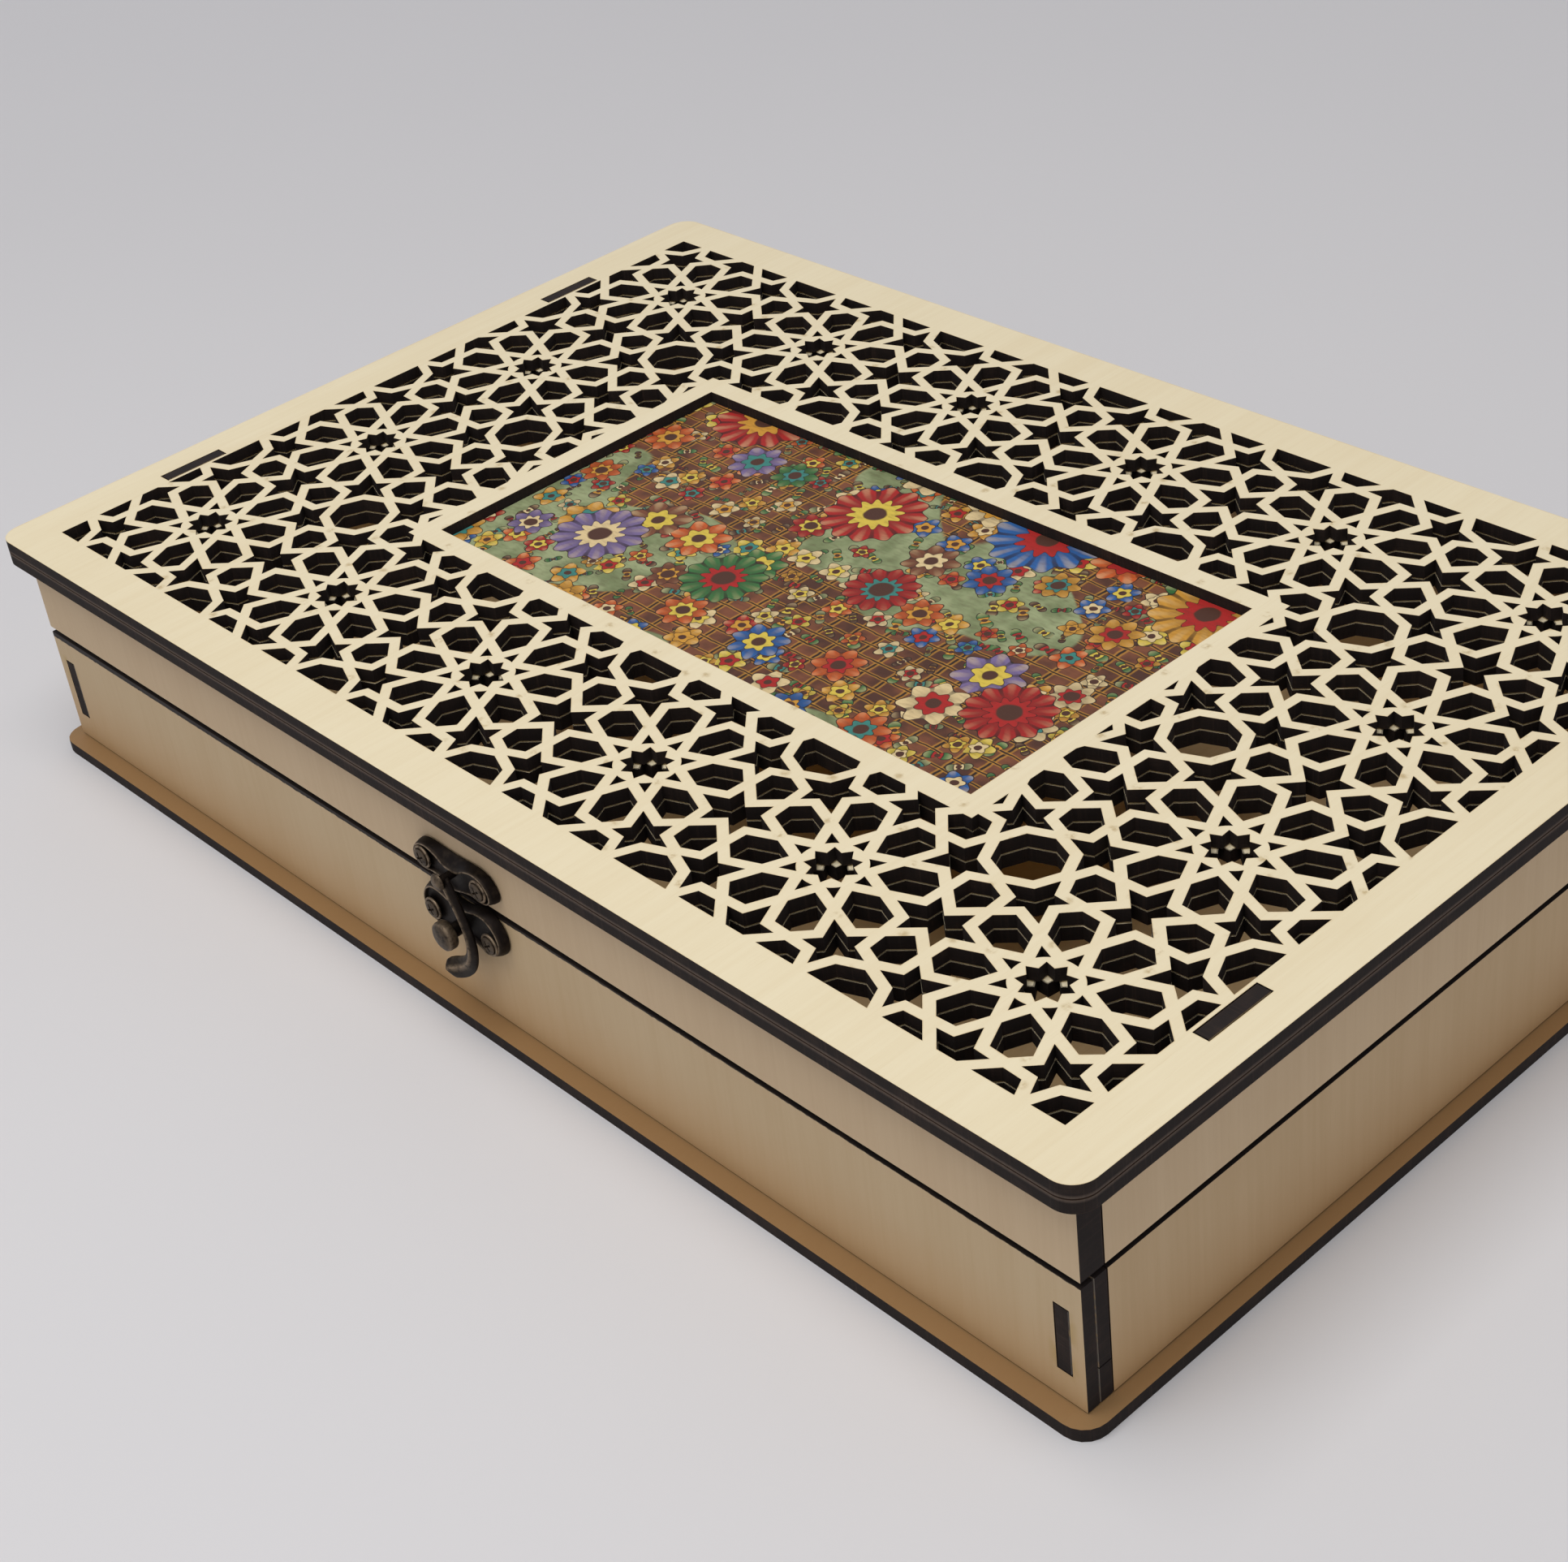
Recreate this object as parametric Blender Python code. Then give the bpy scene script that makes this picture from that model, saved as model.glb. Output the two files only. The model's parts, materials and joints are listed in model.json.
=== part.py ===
"""Keepsake box of laser-cut plywood, with a star-lattice lid, a hook latch and two hinges.

Metres, +Z up. The box stands on Z = 0 with the centre of its base plate at the origin.
The latch is on the front, which faces -Y, and the hinges are on the back.
"""
import math

import bmesh
import bpy
from mathutils import Matrix, Vector

# Sheet stock and clearances
SHEET = 0.0028
FIT = 0.0003

# Lattice repeat, and how many repeats the lid holds
CELL_LENGTH = 0.04964
CELL_WIDTH = 0.04609
CELLS_LONG = 6
CELLS_WIDE = 4
STRAP_WIDTH = 0.0022

# Lid panels and base plate
BORDER_AT_ENDS = 0.01108
BORDER_AT_SIDES = 0.01012
CORNER_RADIUS = 0.005
CORNER_STEPS = 5
OVERHANG = 0.0041
LEDGE_AT_ENDS = 0.0033

# Walls
BASE_WALL_HEIGHT = 0.02755
LID_WALL_HEIGHT = 0.0179
LID_WALL_THICKNESS = 0.0054
SEAM = 0.00135
LINER_STRIP_HEIGHT = 0.0076

# Tabs of the inner walls
BASE_TAB_HEIGHT = 0.0142
BASE_TAB_RISE = 0.0065
LID_TAB_LENGTH = 0.0152
LID_TAB_OFFSET = 0.0559

# Picture window of the lid
WINDOW_LENGTH = 0.1572
WINDOW_WIDTH = 0.0782
WINDOW_FRAME = 0.0051
CARD_THICKNESS = 0.0005

# Screws and rivets
SHANK_RADIUS = 0.0009
SCREW_HEAD_RADIUS = 0.0018
SCREW_HEAD_HEIGHT = 0.0005
SCREW_GRIP = 0.0040
ROUND_STEPS = 12
SCREW_CROWN_SHARE = 0.8
SCREW_TIP_SHARE = 0.5

# Hook latch
LATCH_OFFSET = 0.0005
PLATE_THICKNESS = 0.0022
PLATE_RIM = 0.0006
PLATE_DISH = 0.0004
WING_REACH = 0.0124
UPPER_WING_HEIGHT = 0.0080
LOWER_WING_HEIGHT = 0.0102
UPPER_PLATE_RISE = 0.0012
LOWER_PLATE_RISE = 0.00075
HOOK_THICKNESS = 0.0015
HOOK_WIDTH = 0.0029
HOOK_EYE_RADIUS = 0.0025
HOOK_LENGTH = 0.0225
PIVOT_RISE = 0.0054
RIVET_HEAD_RADIUS = 0.0018
RIVET_HEAD_HEIGHT = 0.0009
RIVET_TAIL = 0.0025
RIVET_CROWN_SHARES = (0.75, 0.7)
KNOB_DROP = 0.00545
KNOB_RADIUS = 0.0031
KNOB_STEM_RADIUS = 0.0015
KNOB_STEM_LENGTH = 0.0029
KNOB_HEAD_HEIGHT = 0.0024
KNOB_SHARES = ((1.0, 0.2), (1.0, 0.55), (0.75, 0.88), (0.0, 1.0))
KNOB_STEPS = 20
EYE_STEPS = 12
CURVE_STEPS = 2
SHARP_ANGLE = 40

# Hinges
HINGE_SPACING = 0.190
HINGE_LENGTH = 0.018
LEAF_HEIGHT = 0.0105
LEAF_THICKNESS = 0.0010
PIN_RADIUS = 0.0007
KNUCKLE_WALL = 0.0006
LEAF_SCREW_SPACING = 0.0110
LEAF_SCREW_INSET = 0.0036
LEAF_CORNER_RADIUS = 0.0015
LEAF_CORNER_STEPS = 3
PIN_STEPS = 8

# Strap centre lines inside one eighth of a lattice cell, as shares of the cell
CROSSING_SHARE = 0.257
ELBOW_SHARES = (0.394, 0.059)
SHOULDER_SHARES = (0.406, 0.274)
KNEE_SHARES = (0.321, 0.239)
CHEVRON_SHARE = 0.075
HEXAGON_PEAK_SHARE = 0.315
OCTAGON_PEAK_SHARE = 0.333
OCTAGON_CORNER_SHARE = 0.383
SMALLEST_OPENING_SHARE = 0.0010
SAME_PLACE_SHARE = 0.01
EDGE_NUDGE_SHARE = 0.00001

# Half outlines of the latch plates from the middle of the top edge round to the bottom,
# as shares of the wing's reach and of the plate's height
UPPER_WING_SHARES = (
    (0.0, 0.97), (0.22, 0.98), (0.44, 1.0), (0.66, 0.99), (0.86, 0.88), (0.98, 0.64),
    (1.0, 0.38), (0.90, 0.20), (0.72, 0.14), (0.50, 0.16), (0.28, 0.08), (0.0, 0.0),
)
LOWER_WING_SHARES = (
    (0.0, 0.86), (0.22, 0.90), (0.46, 0.99), (0.70, 0.99), (0.90, 0.82), (1.0, 0.54),
    (0.96, 0.26), (0.80, 0.06), (0.58, 0.0), (0.38, 0.08), (0.20, 0.13), (0.0, 0.10),
)
UPPER_SCREW_SHARES = (0.70, 0.55)
LOWER_SCREW_SHARES = (0.72, 0.38)

# Middle line of the hook below its pivot, and its width there, as shares of the hook's
# length and of its width
HOOK_PATH_SHARES = (
    (0.0, 0.0, 1.0), (0.085, -0.16, 0.95), (0.165, -0.33, 0.85), (0.215, -0.50, 0.85),
    (0.22, -0.66, 0.95), (0.165, -0.80, 1.15), (0.065, -0.90, 1.40), (-0.05, -0.96, 1.45),
    (-0.15, -1.0, 1.1),
)

# Derived overall sizes
LID_LENGTH = CELLS_LONG * CELL_LENGTH + 2 * BORDER_AT_ENDS
LID_WIDTH = CELLS_WIDE * CELL_WIDTH + 2 * BORDER_AT_SIDES
HALF_LENGTH = LID_LENGTH / 2 - OVERHANG
HALF_WIDTH = LID_WIDTH / 2 - OVERHANG

# Derived levels
WALL_FOOT = SHEET + FIT
BASE_TOP = WALL_FOOT + BASE_WALL_HEIGHT
LID_FOOT = BASE_TOP + SEAM
LID_WALL_TOP = LID_FOOT + LID_WALL_HEIGHT
UNDER_PANEL = LID_WALL_TOP + FIT
TOP_PANEL = UNDER_PANEL + SHEET + FIT
BOX_TOP = TOP_PANEL + SHEET

# Derived wall faces
SKIN_INNER_X = HALF_LENGTH - SHEET
SIDE_OUTER_X = SKIN_INNER_X - FIT
SIDE_INNER_X = SIDE_OUTER_X - SHEET
SIDE_MIDDLE_X = (SIDE_OUTER_X + SIDE_INNER_X) / 2
FRONT_SKIN_INNER_Y = HALF_WIDTH - SHEET
LINER_OUTER_Y = FRONT_SKIN_INNER_Y - FIT
LINER_INNER_Y = LINER_OUTER_Y - SHEET
BASE_SIDE_REACH = LINER_INNER_Y - FIT
LID_SIDE_REACH = HALF_WIDTH - LID_WALL_THICKNESS - FIT
TAB_LOW = WALL_FOOT + BASE_TAB_RISE
TAB_HIGH = TAB_LOW + BASE_TAB_HEIGHT
LINER_SPLIT = WALL_FOOT + LINER_STRIP_HEIGHT

# Derived places of the latch
PLATE_BACK_Y = HALF_WIDTH + FIT
PLATE_FACE_Y = PLATE_BACK_Y + PLATE_THICKNESS
UPPER_PLATE_FOOT = LID_FOOT + UPPER_PLATE_RISE
LOWER_PLATE_TOP = BASE_TOP + LOWER_PLATE_RISE
LOWER_PLATE_FOOT = LOWER_PLATE_TOP - LOWER_WING_HEIGHT
PIVOT_Z = LID_FOOT + PIVOT_RISE
KNOB_Z = BASE_TOP - KNOB_DROP
HOOK_BACK_Y = PLATE_FACE_Y + SCREW_HEAD_HEIGHT + 2 * FIT
HOOK_FACE_Y = HOOK_BACK_Y + HOOK_THICKNESS
SHANK_HOLE_RADIUS = SHANK_RADIUS + FIT
STEM_HOLE_RADIUS = KNOB_STEM_RADIUS + FIT

# Derived places of the hinges
KNUCKLE_RADIUS = PIN_RADIUS + FIT + KNUCKLE_WALL
HINGE_AXIS_Y = HALF_WIDTH + FIT + KNUCKLE_RADIUS
HINGE_AXIS_Z = BASE_TOP + SEAM / 2
LEAF_BACK_Y = HALF_WIDTH + FIT
LEAF_START = KNUCKLE_RADIUS + FIT
LEAF_SCREW_RISE = LEAF_HEIGHT - LEAF_SCREW_INSET
HINGE_CENTRES = (-HINGE_SPACING / 2, HINGE_SPACING / 2)


def clear_scene():
    for item in list(bpy.data.objects):
        bpy.data.objects.remove(item, do_unlink=True)


def principled(name, colour, roughness, metallic):
    material = bpy.data.materials.new(name)
    material.use_nodes = True
    shader = material.node_tree.nodes["Principled BSDF"]
    shader.inputs["Base Color"].default_value = (*colour, 1.0)
    shader.inputs["Roughness"].default_value = roughness
    shader.inputs["Metallic"].default_value = metallic
    material.diffuse_color = (*colour, 1.0)
    return material


PLYWOOD_COLOUR = (0.80, 0.68, 0.47)
SIDE_COLOUR = (0.62, 0.49, 0.34)
CARD_COLOUR = (0.42, 0.45, 0.30)
BRONZE_COLOUR = (0.13, 0.10, 0.08)
STEEL_COLOUR = (0.20, 0.17, 0.14)


def plywood(name):
    return principled(name + "_plywood", PLYWOOD_COLOUR, 0.6, 0.0)


def side_plywood(name):
    return principled(name + "_plywood", SIDE_COLOUR, 0.6, 0.0)


def bronze(name):
    return principled(name + "_bronze", BRONZE_COLOUR, 0.4, 0.9)


def add_object(name, mesh_data, material, parent=None):
    mesh = bpy.data.meshes.new(name)
    mesh_data.to_mesh(mesh)
    mesh_data.free()
    mesh.materials.append(material)
    item = bpy.data.objects.new(name, mesh)
    bpy.context.scene.collection.objects.link(item)
    if parent is not None:
        item.parent = parent
    return item


def add_pivot(name, place, parent=None):
    pivot = bpy.data.objects.new(name, None)
    pivot.location = Vector(place)
    if parent is not None:
        pivot.parent = parent
        pivot.location -= parent.location
    bpy.context.scene.collection.objects.link(pivot)
    return pivot


def smooth_round(item):
    item.data.shade_smooth()
    item.data.set_sharp_from_angle(angle=math.radians(SHARP_ANGLE))


# Flat outlines

def rectangle(low_x, high_x, low_y, high_y):
    return [(low_x, low_y), (high_x, low_y), (high_x, high_y), (low_x, high_y)]


def rounded_rectangle(half_x, half_y, radius, steps=CORNER_STEPS, centre=(0.0, 0.0)):
    points = []
    for quarter, (side_x, side_y) in enumerate(((1, 1), (-1, 1), (-1, -1), (1, -1))):
        for step in range(steps + 1):
            angle = math.radians(90) * (quarter + step / steps)
            points.append((
                centre[0] + side_x * (half_x - radius) + radius * math.cos(angle),
                centre[1] + side_y * (half_y - radius) + radius * math.sin(angle),
            ))
    return points


def circle(radius, centre=(0.0, 0.0), steps=ROUND_STEPS):
    return [
        (centre[0] + radius * math.cos(2 * math.pi * step / steps),
         centre[1] + radius * math.sin(2 * math.pi * step / steps))
        for step in range(steps)
    ]


def smooth_loop(points, steps):
    """Closed curve through the points, with a few steps between each two."""
    count = len(points)
    curve = []
    for index in range(count):
        before, start, end, after = (Vector(points[(index + k - 1) % count]) for k in range(4))
        for step in range(steps):
            t = step / steps
            curve.append(tuple(0.5 * (
                2 * start + (end - before) * t
                + (2 * before - 5 * start + 4 * end - after) * t ** 2
                + (3 * start - before - 3 * end + after) * t ** 3
            )))
    return curve


def area_of(points):
    total = 0.0
    for (x0, y0), (x1, y1) in zip(points, points[1:] + points[:1]):
        total += x0 * y1 - x1 * y0
    return total / 2


def line_meeting(point_a, way_a, point_b, way_b):
    """Where the line through point_a along way_a meets the one through point_b."""
    cross = way_a.x * way_b.y - way_a.y * way_b.x
    gap = point_b - point_a
    return point_a + way_a * ((gap.x * way_b.y - gap.y * way_b.x) / cross)


def inset(points, distance):
    """The outline with every side moved inwards by the distance."""
    if area_of(points) < 0:
        points = points[::-1]
    corners = [Vector(point) for point in points]
    moved = []
    for before, corner, after in zip(corners[-1:] + corners[:-1], corners, corners[1:] + corners[:1]):
        way_in = (corner - before).normalized()
        way_out = (after - corner).normalized()
        start = corner + distance * Vector((-way_in.y, way_in.x))
        end = corner + distance * Vector((-way_out.y, way_out.x))
        moved.append(tuple(line_meeting(start, way_in, end, way_out)))
    return moved


# Clipping of an opening by a rectangle

class Rectangle:
    """An upright rectangle whose edge is measured from 0 to 4, a side to each 1."""

    def __init__(self, low_x, high_x, low_y, high_y):
        self.low = (low_x, low_y)
        self.high = (high_x, high_y)
        self.corners = rectangle(low_x, high_x, low_y, high_y)

    def holds(self, point):
        return all(self.low[k] < point[k] < self.high[k] for k in range(2))

    def crossings(self, start, end):
        """Shares along the segment where it enters and leaves, or None if it misses."""
        enter, leave = 0.0, 1.0
        for k in range(2):
            step = end[k] - start[k]
            if step == 0.0:
                if not self.low[k] < start[k] < self.high[k]:
                    return None
                continue
            near, far = sorted(((self.low[k] - start[k]) / step, (self.high[k] - start[k]) / step))
            enter = max(enter, near)
            leave = min(leave, far)
        return (enter, leave) if enter < leave else None

    def place(self, point):
        """Where on the edge a point is, from 0 to 4."""
        x_share = (point[0] - self.low[0]) / (self.high[0] - self.low[0])
        y_share = (point[1] - self.low[1]) / (self.high[1] - self.low[1])
        choices = (
            (abs(y_share), x_share), (abs(1 - x_share), 1 + y_share),
            (abs(1 - y_share), 3 - x_share), (abs(x_share), 4 - y_share),
        )
        return min(choices)[1] % 4


def clip(points, frame, keep_inside):
    """The pieces of a closed outline inside the rectangle, or outside it."""
    if area_of(points) < 0:
        points = points[::-1]
    walk = []
    for start, end in zip(points, points[1:] + points[:1]):
        walk.append(start)
        for share in frame.crossings(start, end) or ():
            if 0.0 < share < 1.0:
                walk.append(tuple(start[k] + share * (end[k] - start[k]) for k in range(2)))
    steps = list(zip(walk, walk[1:] + walk[:1]))
    kept = [frame.holds(((a[0] + b[0]) / 2, (a[1] + b[1]) / 2)) == keep_inside for a, b in steps]
    if all(kept):
        return [points]
    if not any(kept):
        return []
    first = kept.index(False)
    chains, chain = [], None
    for (start, end), keep in zip(steps[first:] + steps[:first], kept[first:] + kept[:first]):
        if not keep:
            chain = None
            continue
        if chain is None:
            chain = [start]
            chains.append(chain)
        chain.append(end)
    return link(chains, frame, 1 if keep_inside else -1)


def link(chains, frame, turn):
    """Close the chains into outlines along the edge of the rectangle."""
    starts = [frame.place(chain[0]) for chain in chains]
    left, pieces = set(range(len(chains))), []
    while left:
        first = index = min(left)
        outline = []
        while True:
            left.discard(index)
            outline += chains[index]
            here = frame.place(chains[index][-1])
            ahead = [((start - here) * turn) % 4 for start in starts]
            index = ahead.index(min(ahead))
            for side in range(4):
                corner = (math.floor(here) + (1 + side if turn > 0 else -side)) % 4
                if ((corner - here) * turn) % 4 < ahead[index]:
                    outline.append(frame.corners[corner])
            if index == first:
                break
        pieces.append(outline)
    return pieces


# Star lattice

def polar(radius, degrees):
    return (radius * math.cos(math.radians(degrees)), radius * math.sin(math.radians(degrees)))


def mirrored(point):
    return (point[1], point[0])


def across(point):
    """The point mirrored at the cell's right side."""
    return (1.0 - point[0], point[1])


def lattice_shapes():
    """Strap centre-line loops round each kind of opening, in cell shares from a rosette."""
    crossing = (CROSSING_SHARE, 0.0)
    diagonal = polar(CROSSING_SHARE, 45)
    notch = polar(CROSSING_SHARE / (2 * math.cos(math.radians(22.5))), 22.5)
    elbow, shoulder, knee = ELBOW_SHARES, SHOULDER_SHARES, KNEE_SHARES
    chevron = (0.5, CHEVRON_SHARE)
    peak = (0.5, HEXAGON_PEAK_SHARE)
    octagon_peak = (0.5, OCTAGON_PEAK_SHARE)
    octagon_corner = (OCTAGON_CORNER_SHARE, OCTAGON_CORNER_SHARE)

    def meeting(a, b, c, d):
        a, b, c, d = (Vector(point) for point in (a, b, c, d))
        return tuple(line_meeting(a, b - a, c, d - c))

    tip = meeting(elbow, shoulder, knee, chevron)
    far_tip = meeting(shoulder, peak, octagon_corner, octagon_peak)
    petal = [notch, crossing, elbow, tip, knee, diagonal]
    five_star = [diagonal, knee, tip, shoulder, far_tip, octagon_corner]
    five_star += [mirrored(point) for point in five_star[4:0:-1]]
    half_star = [crossing, elbow, tip, chevron, across(tip), across(elbow), across(crossing)]
    six_star = half_star + [(x, -y) for x, y in half_star[-2:0:-1]]
    quarter = [octagon_corner, octagon_peak]
    octagon = []
    for turn in range(4):
        for x, y in quarter:
            x, y = x - 0.5, y - 0.5
            for _ in range(turn):
                x, y = -y, x
            octagon.append((0.5 + x, 0.5 + y))
    hexagon = [chevron, tip, shoulder, peak, across(shoulder), across(tip)]
    return {
        "petal": petal, "five_star": five_star, "six_star": six_star, "octagon": octagon,
        "hexagon": hexagon,
    }


def images(points):
    """The outline and its mirror images in a rosette's two axes and diagonals."""
    for x_side in (1, -1):
        for y_side in (1, -1):
            yield [(x_side * x, y_side * y) for x, y in points]
            yield [(x_side * y, y_side * x) for x, y in points]


def repeated(shapes):
    """Every shape round every rosette of the lid, each place once."""
    copies, centres = [], []
    for i in range(CELLS_LONG):
        for j in range(CELLS_WIDE):
            for shape in shapes:
                for image in images(shape):
                    copy = [Vector((i + x, j + y)) for x, y in image]
                    centre = sum(copy, Vector((0.0, 0.0))) / len(copy)
                    if all((centre - other).length > SAME_PLACE_SHARE for other in centres):
                        centres.append(centre)
                        copies.append([tuple(point) for point in copy])
    return copies


def lattice_openings(kinds, keep_out):
    """All openings of the lattice in metres, clipped by its border and by keep_out."""
    strap_share = STRAP_WIDTH / (CELL_LENGTH + CELL_WIDTH)
    loops = lattice_shapes()
    border = Rectangle(
        -0.5 + EDGE_NUDGE_SHARE, CELLS_LONG - 0.5 - EDGE_NUDGE_SHARE,
        -0.5 + EDGE_NUDGE_SHARE, CELLS_WIDE - 0.5 - EDGE_NUDGE_SHARE,
    )
    middle_i, middle_j = (CELLS_LONG - 1) / 2, (CELLS_WIDE - 1) / 2
    reach_i, reach_j = keep_out[0] / CELL_LENGTH, keep_out[1] / CELL_WIDTH
    window = Rectangle(middle_i - reach_i, middle_i + reach_i, middle_j - reach_j, middle_j + reach_j)
    openings = []
    for outline in repeated([inset(loops[kind], strap_share) for kind in kinds]):
        for inner in clip(outline, border, True):
            for piece in clip(inner, window, False):
                if abs(area_of(piece)) > SMALLEST_OPENING_SHARE:
                    openings.append([
                        ((x - middle_i) * CELL_LENGTH, (y - middle_j) * CELL_WIDTH) for x, y in piece
                    ])
    return openings


# Sheets cut from flat outlines

def sheet_mesh(outline, holes, thickness):
    """A flat sheet in the XY plane from Z = 0 up to its thickness."""
    bm = bmesh.new()
    edges = []
    for loop in [outline] + holes:
        corners = [bm.verts.new((x, y, 0.0)) for x, y in loop]
        for start, end in zip(corners, corners[1:] + corners[:1]):
            edges.append(bm.edges.new((start, end)))
    bmesh.ops.triangle_fill(bm, edges=edges, use_beauty=True, use_dissolve=False)
    lift = bmesh.ops.extrude_face_region(bm, geom=bm.faces[:])
    top = [item for item in lift["geom"] if isinstance(item, bmesh.types.BMVert)]
    bmesh.ops.translate(bm, verts=top, vec=(0.0, 0.0, thickness))
    bmesh.ops.recalc_face_normals(bm, faces=bm.faces[:])
    return bm


def facing_front():
    """Turns a sheet drawn in XY so that it stands in XZ and its thickness runs to -Y."""
    return Matrix.Rotation(math.radians(90), 4, "X")


def facing_right():
    """Turns a sheet drawn in XY so that it stands in YZ and its thickness runs to +X."""
    return Matrix.Rotation(math.radians(90), 4, "Z") @ Matrix.Rotation(math.radians(90), 4, "X")


def flat_sheet(name, outline, holes, thickness, level, material, parent=None):
    bm = sheet_mesh(outline, holes, thickness)
    bmesh.ops.translate(bm, verts=bm.verts[:], vec=(0.0, 0.0, level))
    return add_object(name, bm, material, parent)


def front_sheet(name, outline, holes, thickness, back_y, material, parent=None):
    """A sheet in XZ whose back is at back_y and whose face is nearer the front."""
    bm = sheet_mesh(outline, holes, thickness)
    place = Matrix.Translation((0.0, back_y, 0.0)) @ facing_front()
    bmesh.ops.transform(bm, matrix=place, verts=bm.verts[:])
    return add_object(name, bm, material, parent)


def side_sheet(name, outline, holes, thickness, inner_x, material, parent=None):
    """A sheet in YZ from inner_x towards +X."""
    bm = sheet_mesh(outline, holes, thickness)
    place = Matrix.Translation((inner_x, 0.0, 0.0)) @ facing_right()
    bmesh.ops.transform(bm, matrix=place, verts=bm.verts[:])
    return add_object(name, bm, material, parent)


# Turned pieces

def turned_mesh(profile, steps):
    """A solid of revolution about Z; the profile runs from the axis to the axis."""
    bm = bmesh.new()
    rings = []
    for radius, height in profile:
        if radius == 0.0:
            rings.append([bm.verts.new((0.0, 0.0, height))])
        else:
            rings.append([bm.verts.new((x, y, height)) for x, y in circle(radius, steps=steps)])
    for low, high in zip(rings, rings[1:]):
        for step in range(steps):
            after = (step + 1) % steps
            if len(low) == 1:
                bm.faces.new((low[0], high[after], high[step]))
            elif len(high) == 1:
                bm.faces.new((low[step], low[after], high[0]))
            else:
                bm.faces.new((low[step], low[after], high[after], high[step]))
    bmesh.ops.recalc_face_normals(bm, faces=bm.faces[:])
    return bm


def turned_piece(name, profile, place, way, material, steps=ROUND_STEPS, parent=None):
    """A turned piece whose Z axis points along way, with its zero height at place."""
    bm = turned_mesh(profile, steps)
    turn = Vector(way).to_track_quat("Z", "Y").to_matrix().to_4x4()
    bmesh.ops.transform(bm, matrix=Matrix.Translation(place) @ turn, verts=bm.verts[:])
    item = add_object(name, bm, material, parent)
    smooth_round(item)
    return item


def wood_screw(name, place, way, through, parent=None):
    """A small round-head screw; place is under its head, and its tip points against way."""
    grip = through + SCREW_GRIP
    taper = SCREW_TIP_SHARE * SCREW_GRIP
    profile = [
        (0.0, -grip), (SHANK_RADIUS, -grip + taper), (SHANK_RADIUS, 0.0), (SCREW_HEAD_RADIUS, 0.0),
        (SCREW_CROWN_SHARE * SCREW_HEAD_RADIUS, SCREW_HEAD_HEIGHT), (0.0, SCREW_HEAD_HEIGHT),
    ]
    return turned_piece(name, profile, place, way, principled(name + "_steel", STEEL_COLOUR, 0.35, 0.9),
                        parent=parent)


def combine(target, other, operation):
    """Cut the other object out of the target, or join it on."""
    other.hide_render = True
    other.display_type = "WIRE"
    modifier = target.modifiers.new(other.name, "BOOLEAN")
    modifier.operation = operation
    modifier.solver = "EXACT"
    modifier.object = other


# Base tray

def screw_spots(shares, foot, height):
    """Places of the two screws of a latch plate."""
    return [
        (LATCH_OFFSET + side * shares[0] * WING_REACH, foot + shares[1] * height) for side in (-1, 1)
    ]


def upper_screws():
    return screw_spots(UPPER_SCREW_SHARES, UPPER_PLATE_FOOT, UPPER_WING_HEIGHT)


def lower_screws():
    return screw_spots(LOWER_SCREW_SHARES, LOWER_PLATE_FOOT, LOWER_WING_HEIGHT)


def leaf_screws(side):
    """Screw places of both hinge leaves, above the axis for the lid and below for the base."""
    return [
        (centre + offset, HINGE_AXIS_Z + side * LEAF_SCREW_RISE)
        for centre in HINGE_CENTRES for offset in (-LEAF_SCREW_SPACING / 2, LEAF_SCREW_SPACING / 2)
    ]


def tab_slots(low, high):
    """Slots near both ends of a long wall, for the tabs of the inner side walls."""
    half = SHEET / 2 + FIT
    return [
        rectangle(side * SIDE_MIDDLE_X - half, side * SIDE_MIDDLE_X + half, low, high)
        for side in (-1, 1)
    ]


def liner_strip(low, high, notch_level, notch_at_foot):
    """A strip as long as the box, with a notch at each end where the tabs pass."""
    near = SIDE_MIDDLE_X - SHEET / 2 - FIT
    far = SIDE_MIDDLE_X + SHEET / 2 + FIT
    edge = low if notch_at_foot else high
    other = high if notch_at_foot else low
    half = [
        (near, edge), (near, notch_level), (far, notch_level), (far, edge),
        (HALF_LENGTH, edge), (HALF_LENGTH, other),
    ]
    return half + [(-x, z) for x, z in half[::-1]]


def holes_between(low, high, spots, radius):
    return [circle(radius, spot) for spot in spots if low < spot[1] < high]


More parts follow.
